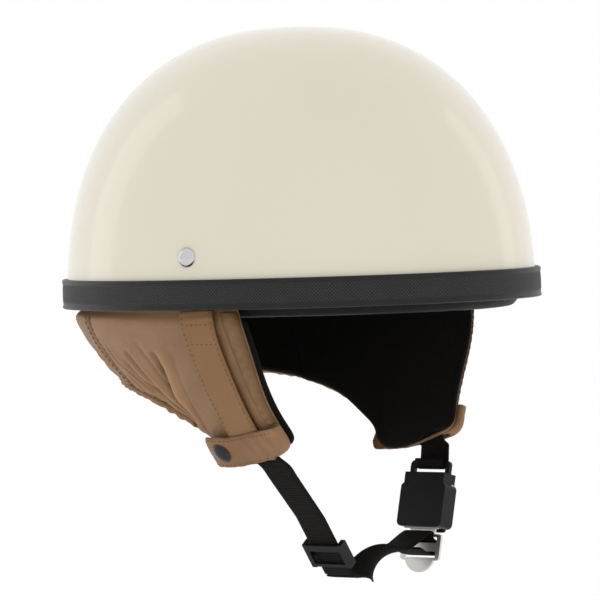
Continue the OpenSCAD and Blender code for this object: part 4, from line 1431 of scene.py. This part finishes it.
# %% [markdown]
# ## The strap under the chin
# Between the slider and the buckle the webbing takes a half twist. It hangs between bodies that
# move.

# %% Lower strap
lower_route = np.array([slider_at + slider_dir * (RUN_DOWN + 1 * MM),
                        *(np.array([(-17, -41.5, -150.8), (-8.5, -42, -149.4),
                                    (0.5, -42, -146.6), (9.5, -42, -143.8),
                                    (18.5, -41.5, -141.4), (27, -41, -139.5)]) * MM)])
TWIST_FROM = 0.15


def lower_frame(t):
    share = max(0, (t - TWIST_FROM) / (1 - TWIST_FROM))
    turn = math.pi * (1 - math.cos(math.pi * share)) / 2
    return spline(lower_route, t), np.array([0.2 * math.sin(turn), math.cos(turn),
                                             math.sin(turn)])


lower_strap = ribbon("chin_strap_lower", [lower_frame(i / 60) for i in range(61)])
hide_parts("strap_lower")
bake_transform(lower_strap)
print("lower strap ready")

# %% Loop round the tongue's bar
BUCKLE_LEAN = math.radians(15)
TONGUE_BAR = -48.2 * MM
TONGUE_BAR_HALF = 2.5
TONGUE_LAP = TONGUE_BAR_HALF + CLEAR + WEB_T / 2
bar_mid = bar_at + np.array([math.sin(BUCKLE_LEAN), 0, math.cos(BUCKLE_LEAN)]) * TONGUE_BAR


def in_buckle(x, z):
    """A point given in millimetres out from the tongue's bar and along the buckle."""
    c, s = math.cos(BUCKLE_LEAN), math.sin(BUCKLE_LEAN)
    return bar_mid + np.array([x * c + z * s, 0, -x * s + z * c]) * MM


end = lower_route[-1]
loop_points = [end + np.array([0.5, 0, 0.2]) * MM, end + np.array([7, 0, 2.5]) * MM,
               in_buckle(-5, TONGUE_LAP + 4.4), in_buckle(-2.8, TONGUE_LAP + 1.4),
               in_buckle(0, TONGUE_LAP + 0.3), in_buckle(2.9, TONGUE_LAP - 0.8),
               in_buckle(2.9, 0.8 - TONGUE_LAP), in_buckle(0, -TONGUE_LAP - 0.3),
               in_buckle(-2.8, -TONGUE_LAP - 0.4), in_buckle(-7, -TONGUE_LAP - 0.5),
               in_buckle(-13, -TONGUE_LAP + 1)]
end_loop = ribbon("chin_strap_end_loop", through([(p, BACK_WAY) for p in loop_points], 70))
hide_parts("strap_end_loop")
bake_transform(end_loop)
print("end loop ready")

# %% [markdown]
# ## Slider and buckle
# These are moulded nylon and stamped steel, so their CAD shapes stay, with rounded edges.

# %% Slider and buckle
dress_cad("strap_slider", nylon, 0.7 * MM)
dress_cad("buckle_housing", nylon, 0.6 * MM)
dress_cad("release_lever", lever_nylon, 0.5 * MM)
dress_cad("ratchet_tongue", tongue_steel, 0.25 * MM)
for node in ("buckle_plate", "lever_pin", "lever_spring", "ratchet_pawl"):
    dress_cad(node, steel)
print("hardware ready")
